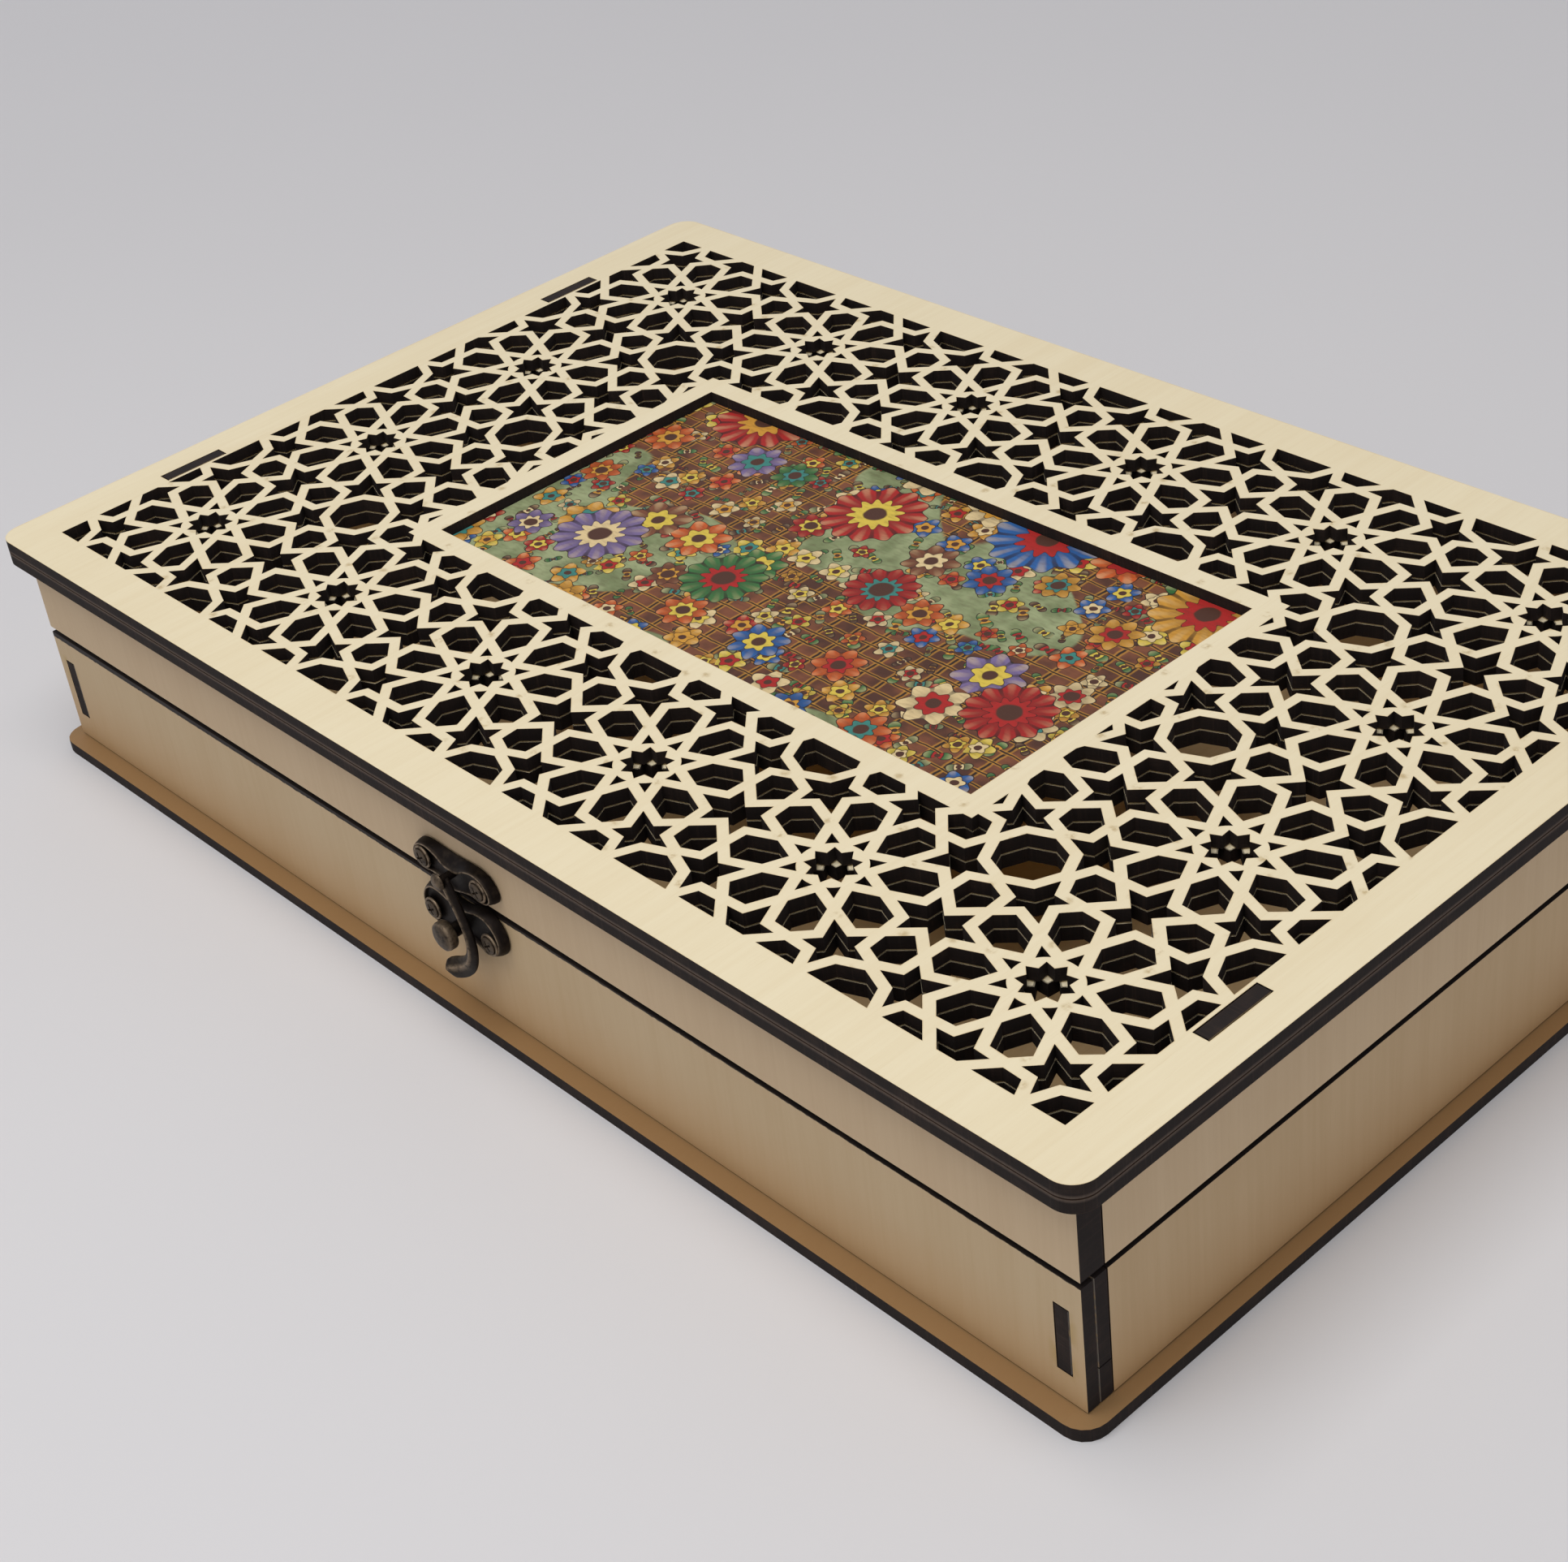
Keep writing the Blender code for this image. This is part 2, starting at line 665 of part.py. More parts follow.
def build_base():
    plate = rounded_rectangle(HALF_LENGTH + LEDGE_AT_ENDS, LID_WIDTH / 2, CORNER_RADIUS)
    flat_sheet("base_plate", plate, [], SHEET, 0.0, plywood("base_plate"))

    skin = rectangle(-HALF_LENGTH, HALF_LENGTH, WALL_FOOT, BASE_TOP)
    slots = tab_slots(TAB_LOW - FIT, TAB_HIGH + FIT)
    knob_hole = [circle(STEM_HOLE_RADIUS, (LATCH_OFFSET, KNOB_Z))]
    front_holes = holes_between(WALL_FOOT, BASE_TOP, lower_screws(), SHANK_HOLE_RADIUS)
    back_holes = holes_between(WALL_FOOT, BASE_TOP, leaf_screws(-1), SHANK_HOLE_RADIUS)
    front_sheet("base_front_skin", skin, slots + front_holes + knob_hole, SHEET,
                -FRONT_SKIN_INNER_Y, side_plywood("base_front_skin"))
    front_sheet("base_back_skin", skin, slots + back_holes, SHEET,
                HALF_WIDTH, side_plywood("base_back_skin"))

    upper_strip = liner_strip(LINER_SPLIT + FIT, BASE_TOP, TAB_HIGH + FIT, True)
    lower_strip = liner_strip(WALL_FOOT, LINER_SPLIT, TAB_LOW - FIT, False)
    for side, back_y, holes in (
        ("front", -LINER_INNER_Y, front_holes), ("back", LINER_OUTER_Y, back_holes),
    ):
        upper_name = f"base_{side}_liner_upper"
        lower_name = f"base_{side}_liner_lower"
        front_sheet(upper_name, upper_strip, holes, SHEET, back_y, side_plywood(upper_name))
        front_sheet(lower_name, lower_strip, [], SHEET, back_y, side_plywood(lower_name))

    quarter = [
        (BASE_SIDE_REACH, WALL_FOOT), (BASE_SIDE_REACH, TAB_LOW), (HALF_WIDTH, TAB_LOW),
        (HALF_WIDTH, TAB_HIGH), (BASE_SIDE_REACH, TAB_HIGH), (BASE_SIDE_REACH, BASE_TOP),
    ]
    tabbed = quarter + [(-y, z) for y, z in quarter[::-1]]
    plain = rectangle(-BASE_SIDE_REACH, BASE_SIDE_REACH, WALL_FOOT, BASE_TOP)
    for side, inner_x, skin_x in (
        ("left", -SIDE_OUTER_X, -HALF_LENGTH), ("right", SIDE_INNER_X, SKIN_INNER_X),
    ):
        side_sheet(f"base_{side}_wall", tabbed, [], SHEET, inner_x, plywood(f"base_{side}_wall"))
        side_sheet(f"base_{side}_skin", plain, [], SHEET, skin_x, side_plywood(f"base_{side}_skin"))


# Lid

def lid_slots():
    """Slots in the lid panels for the tabs of the lid's side walls."""
    half_x = SHEET / 2 + FIT
    half_y = LID_TAB_LENGTH / 2 + FIT
    return [
        rectangle(side * SIDE_MIDDLE_X - half_x, side * SIDE_MIDDLE_X + half_x,
                  end * LID_TAB_OFFSET - half_y, end * LID_TAB_OFFSET + half_y)
        for side in (-1, 1) for end in (-1, 1)
    ]


def build_lid(lid):
    panel = rounded_rectangle(LID_LENGTH / 2, LID_WIDTH / 2, CORNER_RADIUS)
    frame_reach = (WINDOW_LENGTH / 2 + WINDOW_FRAME, WINDOW_WIDTH / 2 + WINDOW_FRAME)
    window = rectangle(-WINDOW_LENGTH / 2, WINDOW_LENGTH / 2, -WINDOW_WIDTH / 2, WINDOW_WIDTH / 2)
    openings = lattice_openings(
        ("petal", "five_star", "six_star", "octagon", "hexagon"), frame_reach)
    flat_sheet("lid_top_lattice", panel, lid_slots() + [window] + openings, SHEET,
               TOP_PANEL, plywood("lid_top_lattice"), lid)
    plain_openings = lattice_openings(("petal", "six_star", "octagon"), frame_reach)
    flat_sheet("lid_under_lattice", panel, lid_slots() + plain_openings, SHEET,
               UNDER_PANEL, plywood("lid_under_lattice"), lid)
    card = rectangle(-WINDOW_LENGTH / 2 + FIT, WINDOW_LENGTH / 2 - FIT,
                     -WINDOW_WIDTH / 2 + FIT, WINDOW_WIDTH / 2 - FIT)
    flat_sheet("picture_card", card, [], CARD_THICKNESS, UNDER_PANEL + SHEET + FIT,
               principled("picture_card_paper", CARD_COLOUR, 0.5, 0.0), lid)

    wall = rectangle(-HALF_LENGTH, HALF_LENGTH, LID_FOOT, LID_WALL_TOP)
    front_holes = [circle(SHANK_HOLE_RADIUS, spot) for spot in upper_screws()]
    front_holes.append(circle(SHANK_HOLE_RADIUS, (LATCH_OFFSET, PIVOT_Z)))
    back_holes = [circle(SHANK_HOLE_RADIUS, spot) for spot in leaf_screws(1)]
    front_sheet("lid_front_wall", wall, front_holes, LID_WALL_THICKNESS,
                LID_WALL_THICKNESS - HALF_WIDTH, side_plywood("lid_front_wall"), lid)
    front_sheet("lid_back_wall", wall, back_holes, LID_WALL_THICKNESS,
                HALF_WIDTH, side_plywood("lid_back_wall"), lid)

    near = LID_TAB_OFFSET - LID_TAB_LENGTH / 2
    far = LID_TAB_OFFSET + LID_TAB_LENGTH / 2
    half = [
        (LID_SIDE_REACH, LID_FOOT), (LID_SIDE_REACH, LID_WALL_TOP), (far, LID_WALL_TOP),
        (far, BOX_TOP), (near, BOX_TOP), (near, LID_WALL_TOP),
    ]
    tabbed = half + [(-y, z) for y, z in half[::-1]]
    plain = rectangle(-LID_SIDE_REACH, LID_SIDE_REACH, LID_FOOT, LID_WALL_TOP)
    for side, inner_x, skin_x in (
        ("left", -SIDE_OUTER_X, -HALF_LENGTH), ("right", SIDE_INNER_X, SKIN_INNER_X),
    ):
        side_sheet(f"lid_{side}_wall", tabbed, [], SHEET, inner_x, plywood(f"lid_{side}_wall"), lid)
        side_sheet(f"lid_{side}_skin", plain, [], SHEET, skin_x, side_plywood(f"lid_{side}_skin"), lid)


# Hook latch

def wing_outline(shares, foot, height):
    """Both halves of a latch plate, as one smooth closed curve."""
    half = [(x * WING_REACH, foot + z * height) for x, z in shares]
    loop = half + [(-x, z) for x, z in half[-2:0:-1]]
    return [(LATCH_OFFSET + x, z) for x, z in smooth_loop(loop, CURVE_STEPS)][::-1]


def latch_plate(name, outline, holes, parent=None):
    """A stamped plate with a raised rim round its face."""
    bm = sheet_mesh(outline, holes, PLATE_THICKNESS)
    face = [item for item in bm.faces if item.normal.z > 0.5]
    bmesh.ops.inset_region(bm, faces=face, thickness=PLATE_RIM, depth=-PLATE_DISH, use_even_offset=True)
    place = Matrix.Translation((0.0, -PLATE_BACK_Y, 0.0)) @ facing_front()
    bmesh.ops.transform(bm, matrix=place, verts=bm.verts[:])
    return add_object(name, bm, bronze(name), parent)


def smooth_path(points, steps):
    """Open curve through the points, with a few steps between each two."""
    ends = [points[0] * 2 - points[1]] + points + [points[-1] * 2 - points[-2]]
    closed = smooth_loop(ends, steps)
    return [Vector(point) for point in closed[:(len(points) - 1) * steps + 1]]


def hook_outline():
    """The hook round its pivot: an eye, an arm that bows to the right and a curled finger."""
    middle = [Vector(point) for point in HOOK_PATH_SHARES]
    path = smooth_path(middle, CURVE_STEPS)
    left, right = [], []
    for before, here, after in zip(path, path[1:], path[2:] + path[-1:]):
        way = (after - before).to_2d().normalized()
        side = Vector((-way.y, way.x)) * here.z * HOOK_WIDTH / 2
        right.append(here.to_2d() * HOOK_LENGTH + side)
        left.append(here.to_2d() * HOOK_LENGTH - side)
    end_way = (path[-1] - path[-2]).to_2d().normalized()
    tip = [path[-1].to_2d() * HOOK_LENGTH + end_way * path[-1].z * HOOK_WIDTH / 2]
    start = math.atan2(left[0].y, left[0].x)
    end = math.atan2(right[0].y, right[0].x)
    sweep = (end - start) % (2 * math.pi) - 2 * math.pi
    eye = []
    for step in range(1, EYE_STEPS):
        angle = start + sweep * step / EYE_STEPS
        eye.append(Vector((math.cos(angle), math.sin(angle))) * HOOK_EYE_RADIUS)
    return [tuple(point) for point in right + tip + left[::-1] + eye]


def build_latch(lid, hook):
    lower_holes = [circle(SHANK_HOLE_RADIUS, spot) for spot in lower_screws()]
    lower_holes.append(circle(STEM_HOLE_RADIUS, (LATCH_OFFSET, KNOB_Z)))
    upper_holes = [circle(SHANK_HOLE_RADIUS, spot) for spot in upper_screws()]
    upper_holes.append(circle(SHANK_HOLE_RADIUS, (LATCH_OFFSET, PIVOT_Z)))
    latch_plate("latch_upper_plate",
                wing_outline(UPPER_WING_SHARES, UPPER_PLATE_FOOT, UPPER_WING_HEIGHT), upper_holes, lid)
    latch_plate("latch_lower_plate",
                wing_outline(LOWER_WING_SHARES, LOWER_PLATE_FOOT, LOWER_WING_HEIGHT), lower_holes)

    bm = sheet_mesh(hook_outline(), [circle(SHANK_HOLE_RADIUS)], HOOK_THICKNESS)
    bmesh.ops.transform(bm, matrix=facing_front(), verts=bm.verts[:])
    add_object("latch_hook", bm, bronze("latch_hook"), hook)

    outwards = (0.0, -1.0, 0.0)
    tail = HOOK_FACE_Y - HALF_WIDTH + RIVET_TAIL
    crown_radius = RIVET_CROWN_SHARES[0] * RIVET_HEAD_RADIUS
    crown_rise = RIVET_CROWN_SHARES[1] * RIVET_HEAD_HEIGHT
    rivet = [
        (0.0, -tail), (SHANK_RADIUS, -tail), (SHANK_RADIUS, FIT), (RIVET_HEAD_RADIUS, FIT),
        (crown_radius, FIT + crown_rise), (0.0, FIT + RIVET_HEAD_HEIGHT),
    ]
    turned_piece("latch_pivot_rivet", rivet, (LATCH_OFFSET, -HOOK_FACE_Y, PIVOT_Z), outwards,
                 bronze("latch_pivot_rivet"), parent=lid)

    stem_out = PLATE_FACE_Y - HALF_WIDTH + KNOB_STEM_LENGTH
    knob = [(0.0, -RIVET_TAIL), (KNOB_STEM_RADIUS, -RIVET_TAIL), (KNOB_STEM_RADIUS, stem_out)]
    knob += [
        (radius * KNOB_RADIUS, stem_out + rise * KNOB_HEAD_HEIGHT) for radius, rise in KNOB_SHARES
    ]
    turned_piece("latch_knob", knob, (LATCH_OFFSET, -HALF_WIDTH, KNOB_Z), outwards,
                 bronze("latch_knob"), steps=KNOB_STEPS)

    for row, spots, parent in (("upper", upper_screws(), lid), ("lower", lower_screws(), None)):
        for side, (x, z) in zip(("left", "right"), spots):
            wood_screw(f"latch_{row}_screw_{side}", (x, -PLATE_FACE_Y - FIT, z), outwards,
                       PLATE_THICKNESS + 2 * FIT, parent)


# Hinges

def hinge_leaf(name, centre, side, knuckles, parent=None):
    """A leaf with its knuckles; side is 1 above the axis and -1 below it."""
    half = HINGE_LENGTH / 2
    low, high = LEAF_START, LEAF_HEIGHT
    centre_z = (low + high) / 2
    outline = rounded_rectangle(half, (high - low) / 2, LEAF_CORNER_RADIUS, LEAF_CORNER_STEPS,
                                (0.0, centre_z))
    holes = [circle(SHANK_HOLE_RADIUS, (x, LEAF_SCREW_RISE)) for x in
             (-LEAF_SCREW_SPACING / 2, LEAF_SCREW_SPACING / 2)]
    bm = sheet_mesh(outline, holes, LEAF_THICKNESS)
    place = Matrix.Translation((centre, LEAF_BACK_Y + LEAF_THICKNESS, HINGE_AXIS_Z)) @ facing_front()
    if side < 0:
        place = place @ Matrix.Scale(-1, 4, Vector((0.0, 1.0, 0.0)))
    bmesh.ops.transform(bm, matrix=place, verts=bm.verts[:])
    bmesh.ops.recalc_face_normals(bm, faces=bm.faces[:])
    leaf = add_object(name, bm, bronze(name), parent)
    for number, (start, end) in enumerate(knuckles):
        knuckle = knuckle_solid(f"{name}_knuckle_{number}", centre + start, centre + end, side)
        combine(leaf, knuckle, "UNION")
    return leaf


def knuckle_solid(name, low_x, high_x, side):
    """A tube round the hinge axis with a web that runs into the leaf."""
    web_out = HINGE_AXIS_Y - LEAF_BACK_Y - LEAF_THICKNESS
    leave = math.acos(web_out / KNUCKLE_RADIUS)
    web_top = LEAF_START + LEAF_CORNER_RADIUS + FIT
    points = [(-KNUCKLE_RADIUS, web_top), (-web_out, web_top)]
    first, last = math.pi - leave, -math.pi
    for step in range(ROUND_STEPS + 1):
        angle = first + (last - first) * step / ROUND_STEPS
        points.append((KNUCKLE_RADIUS * math.cos(angle), KNUCKLE_RADIUS * math.sin(angle)))
    bm = sheet_mesh(points, [circle(PIN_RADIUS + FIT)], high_x - low_x)
    place = Matrix.Translation((low_x, HINGE_AXIS_Y, HINGE_AXIS_Z)) @ facing_right()
    if side < 0:
        place = place @ Matrix.Scale(-1, 4, Vector((0.0, 1.0, 0.0)))
    bmesh.ops.transform(bm, matrix=place, verts=bm.verts[:])
    bmesh.ops.recalc_face_normals(bm, faces=bm.faces[:])
    return add_object(name, bm, bronze(name))


def build_hinges(lid):
    third = HINGE_LENGTH / 3
    half = HINGE_LENGTH / 2
    outer = [(-half, -half + third - FIT), (half - third + FIT, half)]
    middle = [(-half + third, half - third)]
    for side, centre in zip(("left", "right"), HINGE_CENTRES):
        hinge_leaf(f"hinge_{side}_base_leaf", centre, -1, outer)
        hinge_leaf(f"hinge_{side}_lid_leaf", centre, 1, middle, lid)
        pin = [(0.0, -half), (PIN_RADIUS, -half), (PIN_RADIUS, half), (0.0, half)]
        turned_piece(f"hinge_{side}_pin", pin, (centre, HINGE_AXIS_Y, HINGE_AXIS_Z), (1.0, 0.0, 0.0),
                     bronze(f"hinge_{side}_pin"), steps=PIN_STEPS)
    face_y = LEAF_BACK_Y + LEAF_THICKNESS + FIT
    backwards = (0.0, 1.0, 0.0)
    labels = ("left_a", "left_b", "right_a", "right_b")
    for row, sign, parent in (("lid", 1, lid), ("base", -1, None)):
        for label, (x, z) in zip(labels, leaf_screws(sign)):
            wood_screw(f"hinge_{row}_screw_{label}", (x, face_y, z), backwards,
                       LEAF_THICKNESS + 2 * FIT, parent)


def attach(pivot):
    """Keep each child where it was modelled while its pivot stands on the joint's axis."""
    for child in pivot.children:
        if child.type == "MESH":
            child.data.transform(Matrix.Translation(-pivot.location))


def main():
    clear_scene()
    lid = add_pivot("lid_pivot", (0.0, HINGE_AXIS_Y, HINGE_AXIS_Z))
    hook = add_pivot("hook_pivot", (LATCH_OFFSET, -HOOK_BACK_Y, PIVOT_Z), lid)
    build_base()
    build_lid(lid)
    build_latch(lid, hook)
    build_hinges(lid)
    attach(lid)


main()
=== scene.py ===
"""Looks of the plywood keepsake box: full lattice panels, laser-cut plywood, a printed card,
an antique bronze hook latch and hinges. Lengths are in metres."""
import json
import math

import bmesh
import bpy
from mathutils import Matrix, Vector


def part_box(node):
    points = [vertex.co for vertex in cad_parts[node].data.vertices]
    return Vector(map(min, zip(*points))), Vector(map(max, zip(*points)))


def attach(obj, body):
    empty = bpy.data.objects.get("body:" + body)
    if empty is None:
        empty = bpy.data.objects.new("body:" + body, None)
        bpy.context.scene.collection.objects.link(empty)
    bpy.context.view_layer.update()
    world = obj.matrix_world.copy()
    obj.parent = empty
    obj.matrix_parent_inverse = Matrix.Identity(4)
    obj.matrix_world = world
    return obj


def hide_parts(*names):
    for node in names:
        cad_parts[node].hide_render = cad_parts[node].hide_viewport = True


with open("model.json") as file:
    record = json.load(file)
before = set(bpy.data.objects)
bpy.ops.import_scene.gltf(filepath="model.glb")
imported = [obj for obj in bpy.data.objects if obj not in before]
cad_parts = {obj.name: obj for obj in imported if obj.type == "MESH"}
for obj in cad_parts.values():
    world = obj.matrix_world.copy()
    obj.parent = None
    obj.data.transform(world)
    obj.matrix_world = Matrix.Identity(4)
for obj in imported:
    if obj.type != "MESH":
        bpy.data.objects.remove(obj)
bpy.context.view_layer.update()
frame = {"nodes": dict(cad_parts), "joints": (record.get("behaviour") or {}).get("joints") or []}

# Lattice repeat and straps
CELL_LENGTH = 0.04964
CELL_WIDTH = 0.04609
CELLS_LONG = 6
CELLS_WIDE = 4
STRAP_WIDTH = 0.0022
PLY_THICKNESS = 0.003
LEDGE = 0.00012
CORNER_RADIUS = 0.005
CORNER_STEPS = 12

# Picture window and the slots for the wall tabs
WINDOW_LENGTH = 0.1572
WINDOW_WIDTH = 0.0782
WINDOW_FRAME = 0.0051
TAB_LENGTH = 0.0152
TAB_OFFSET = 0.0559
FIT = 0.0003

# Latch plates, hook, rivet and knob
WING_REACH = 0.0124
UPPER_WING_HEIGHT = 0.0080
LOWER_WING_HEIGHT = 0.0102
HOOK_WIDTH = 0.0029
HOOK_LENGTH = 0.0225
HOOK_EYE_RADIUS = 0.0025
FINGER_CURL = 0.0013
FINGER_START = 0.7
FINGER_LENGTH = 0.3
TIP_TAPER = (0.55, 14.0)
HOOK_RIDGE_SHIFT = -0.15
RIDGE_RISE = 0.9
EYE_SIDES = 40
KNOB_SIDES = 40
RIVET_SIDES = 32
PLATE_CURVE_STEPS = 6
HOOK_CURVE_STEPS = 5

# Screws
HEAD_RADIUS = 0.0018
HEAD_HEIGHT = 0.0005
CROWN_HEIGHT = 0.00025
SLOT_WIDTH = 0.00042
SLOT_DEPTH = 0.00045
CUP_GAP = 0.00035
CUP_THICKNESS = 0.0003
SHANK_RADIUS = 0.0008
SHANK_LENGTH = 0.005
SCREW_SEED = 4
HEAD_SIDES = 32
SHANK_SIDES = 16
CUP_SIDES = 36
CUP_SECTION_SIDES = 8
SLOT_LENGTH_SHARE = 1.3
LARGEST_TURN = 3.0
HEAD_RUB = 0.3
CUP_RUB = 0.8

# Strap centre lines in one eighth of a lattice cell, as shares of the cell
CROSSING_SHARE = 0.257
ELBOW_SHARES = (0.394, 0.059)
SHOULDER_SHARES = (0.406, 0.274)
KNEE_SHARES = (0.321, 0.239)
CHEVRON_SHARE = 0.075
HEXAGON_PEAK_SHARE = 0.315
OCTAGON_PEAK_SHARE = 0.333
OCTAGON_CORNER_SHARE = 0.383
RING_SHARE = 0.135
STAR_TIP_SHARE = 0.110
STAR_NOTCH_SHARE = 0.078
UNDER_NOTCH_SHARE = 0.069
STAR_POINTS = 9
SMALLEST_OPENING_SHARE = 0.0004
SAME_PLACE_SHARE = 0.01
EDGE_NUDGE_SHARE = 0.00001
NEARLY_STRAIGHT = 0.9999
SPIKE_HALVINGS = 30

# Half outlines of the latch plates at their back and at their face, as shares of the wing's
# reach and of the plate's height
UPPER_BACK_SHARES = (
    (0.0, 0.97), (0.22, 0.98), (0.44, 1.0), (0.66, 0.99), (0.86, 0.88), (0.98, 0.64),
    (1.0, 0.38), (0.90, 0.20), (0.72, 0.14), (0.50, 0.16), (0.28, 0.08), (0.0, 0.0),
)
UPPER_FACE_SHARES = (
    (0.0, 0.66), (0.17, 0.70), (0.36, 0.86), (0.60, 0.95), (0.82, 0.85), (0.94, 0.62),
    (0.95, 0.40), (0.86, 0.25), (0.70, 0.20), (0.48, 0.23), (0.26, 0.16), (0.0, 0.06),
)
LOWER_BACK_SHARES = (
    (0.0, 0.86), (0.22, 0.90), (0.46, 0.99), (0.70, 0.99), (0.90, 0.82), (1.0, 0.54),
    (0.96, 0.26), (0.80, 0.06), (0.58, 0.0), (0.38, 0.08), (0.20, 0.13), (0.0, 0.10),
)
LOWER_FACE_SHARES = (
    (0.0, 0.80), (0.22, 0.85), (0.46, 0.93), (0.68, 0.92), (0.86, 0.77), (0.95, 0.52),
    (0.91, 0.29), (0.76, 0.12), (0.58, 0.07), (0.38, 0.15), (0.20, 0.20), (0.0, 0.17),
)
# Section of a plate's edge from its back to its dished face: how far from the back outline to
# the face outline, how far in from there, how high, and how much it is rubbed to pale metal, with
# a painted highlight along the rim
PLATE_EDGE_SHARES = (
    (0.0, 0.0, 0.0, 0.0), (0.15, 0.0, 0.35, 0.0), (0.6, 0.0, 0.72, 0.0), (0.92, 0.0, 0.93, 0.1),
    (1.0, 0.05, 1.0, 1.0), (1.0, 0.13, 1.0, 0.7), (1.0, 0.19, 0.9, 0.05), (1.0, 0.24, 0.72, 0.0),
    (1.0, 0.34, 0.66, 0.0),
)
# Middle line of the hook and its width there, as shares of the hook's length and width
HOOK_PATH_SHARES = (
    (0.0, 0.0, 1.0), (0.085, -0.16, 0.95), (0.165, -0.33, 0.85), (0.215, -0.50, 0.85),
    (0.22, -0.66, 0.95), (0.165, -0.80, 1.15), (0.065, -0.90, 1.45), (-0.03, -0.95, 1.60),
    (-0.12, -0.98, 1.50),
)
# Section across the hook, as shares of half its width and of its thickness, and how pale it is:
# rubbed metal with a painted highlight along the ridge, and painted light on the left facet
HOOK_SECTION_SHARES = (
    (-0.8, 0.0, 0.0), (0.8, 0.0, 0.0), (1.0, 0.15, 0.0), (1.0, 0.45, 0.0), (0.8, 0.62, 0.0),
    (0.35, 0.82, 0.05), (0.12, 0.96, 0.6), (0.0, 1.0, 1.0), (-0.14, 0.97, 0.6), (-0.5, 0.86, 0.1),
    (-0.85, 0.74, 0.12), (-1.0, 0.58, 0.3), (-1.0, 0.15, 0.0),
)
# Rings of the round pieces from back to face, as shares of radius and length, and how pale they
# are: rubbed metal with a painted highlight on their rims and crowns
EYE_RINGS = (
    (0.12, 0.0, 0.0), (0.0, 0.15, 0.0), (0.0, 0.68, 0.3), (0.12, 0.92, 0.7), (0.3, 1.0, 0.3),
)
RIVET_RINGS = (
    (0.5, 0.0, 0.0), (0.5, 0.87, 0.0), (0.92, 0.875, 0.0), (1.0, 0.9, 0.3), (0.95, 0.94, 0.3),
    (0.72, 0.98, 0.4), (0.35, 0.997, 0.6), (0.12, 1.0, 0.7),
)
KNOB_RINGS = (
    (0.48, 0.0, 0.0), (0.48, 0.70, 0.0), (0.60, 0.735, 0.0), (0.94, 0.765, 0.2), (1.0, 0.79, 0.5),
    (1.0, 0.90, 0.3), (0.94, 0.95, 0.6), (0.80, 0.975, 0.25), (0.5, 0.993, 0.25), (0.2, 1.0, 0.3),
)

# Camera: where it stands, where it looks, its roll in degrees and its lens
CAMERA_PLACE = (0.35895, -0.30599, 0.33005)
CAMERA_AIM = (0.04922, -0.05715, 0.0561)
CAMERA_ROLL = -7.42
CAMERA_LENS = 61.37
CAMERA_CLIP = 0.01


def tone(red, green, blue):
    """A colour written as it looks, from 0 to 255, turned into the renderer's linear values."""
    linear = []
    for value in (red, green, blue):
        share = value / 255
        linear.append(share / 12.92 if share <= 0.04045 else ((share + 0.055) / 1.055) ** 2.4)
    return (*linear, 1.0)


# Woods, each pale and deep; the outer walls' woods are darker than the veneer, partly their own
# tone and partly painted shade of the upright walls
VENEER = (tone(242, 230, 199), tone(230, 213, 176))
LID_WALL_WOOD_AND_SHADE = (tone(206, 182, 149), tone(194, 167, 133))
LID_SIDE_WOOD_AND_SHADE = (tone(216, 191, 156), tone(203, 175, 138))
TRAY_WOOD_AND_SHADE = (tone(200, 177, 142), tone(188, 161, 122))
TRAY_SIDE_WOOD_AND_SHADE = (tone(204, 177, 139), tone(189, 160, 120))
INSIDE_WOOD = (tone(206, 180, 138), tone(186, 156, 112))

# Marks on the wood, metal and backdrop
# Painted warm shade towards the foot of the walls
FOOT_SHADE_TONE = tone(184, 142, 92)
# Char, also painted as shadow along the seam and as shade between the lid's panels
CHAR_AND_SHADOW = tone(22, 13, 9)
# Ash, also painted as shade between the lid's panels along their outer edge
ASH_AND_SHADE = tone(62, 47, 39)
LEDGE_TONE = tone(148, 113, 73)
SMOKE = tone(104, 90, 80)
GLUE = tone(150, 146, 140)
SCORCH = tone(206, 168, 104)
SOOT = tone(176, 146, 84)
BRONZE = tone(25, 19, 16)
# Pale rubbed metal, also painted as highlight on rims and ridges
BRONZE_RUBBED_AND_HIGHLIGHT = tone(142, 124, 102)
FLOOR_TONE = tone(226, 226, 231)
BACKDROP_TONE = tone(222, 222, 230)

X_AXIS = (1.0, 0.0, 0.0)
Y_AXIS = (0.0, 1.0, 0.0)
Z_AXIS = (0.0, 0.0, 1.0)

# How fine each pattern is: features to a metre, but pores to a line of the grain
PORE_SCALE = 3.7
CLOUD_SCALE = 16.0
STROKE_SCALE = 1500.0
EDGE_SMOKE_SCALE = 160.0
RAGGED_SCALE = 900.0
GLUE_SCALE = 500.0
SLOT_SMOKE_SCALE = 210.0
CAST_CLOUD_SCALE = 420.0
CAST_GRIT_SCALE = 2600.0
SWAY_SCALE = 240.0
LAWN_SCALE = 90.0
BOARD_SCALE = 70.0
PATCH_SCALE = 21.0
SPECKLE_SCALE = 2400.0
BRUSH_SCALE = 380.0
FLOOR_CLOUD_SCALE = 5.0

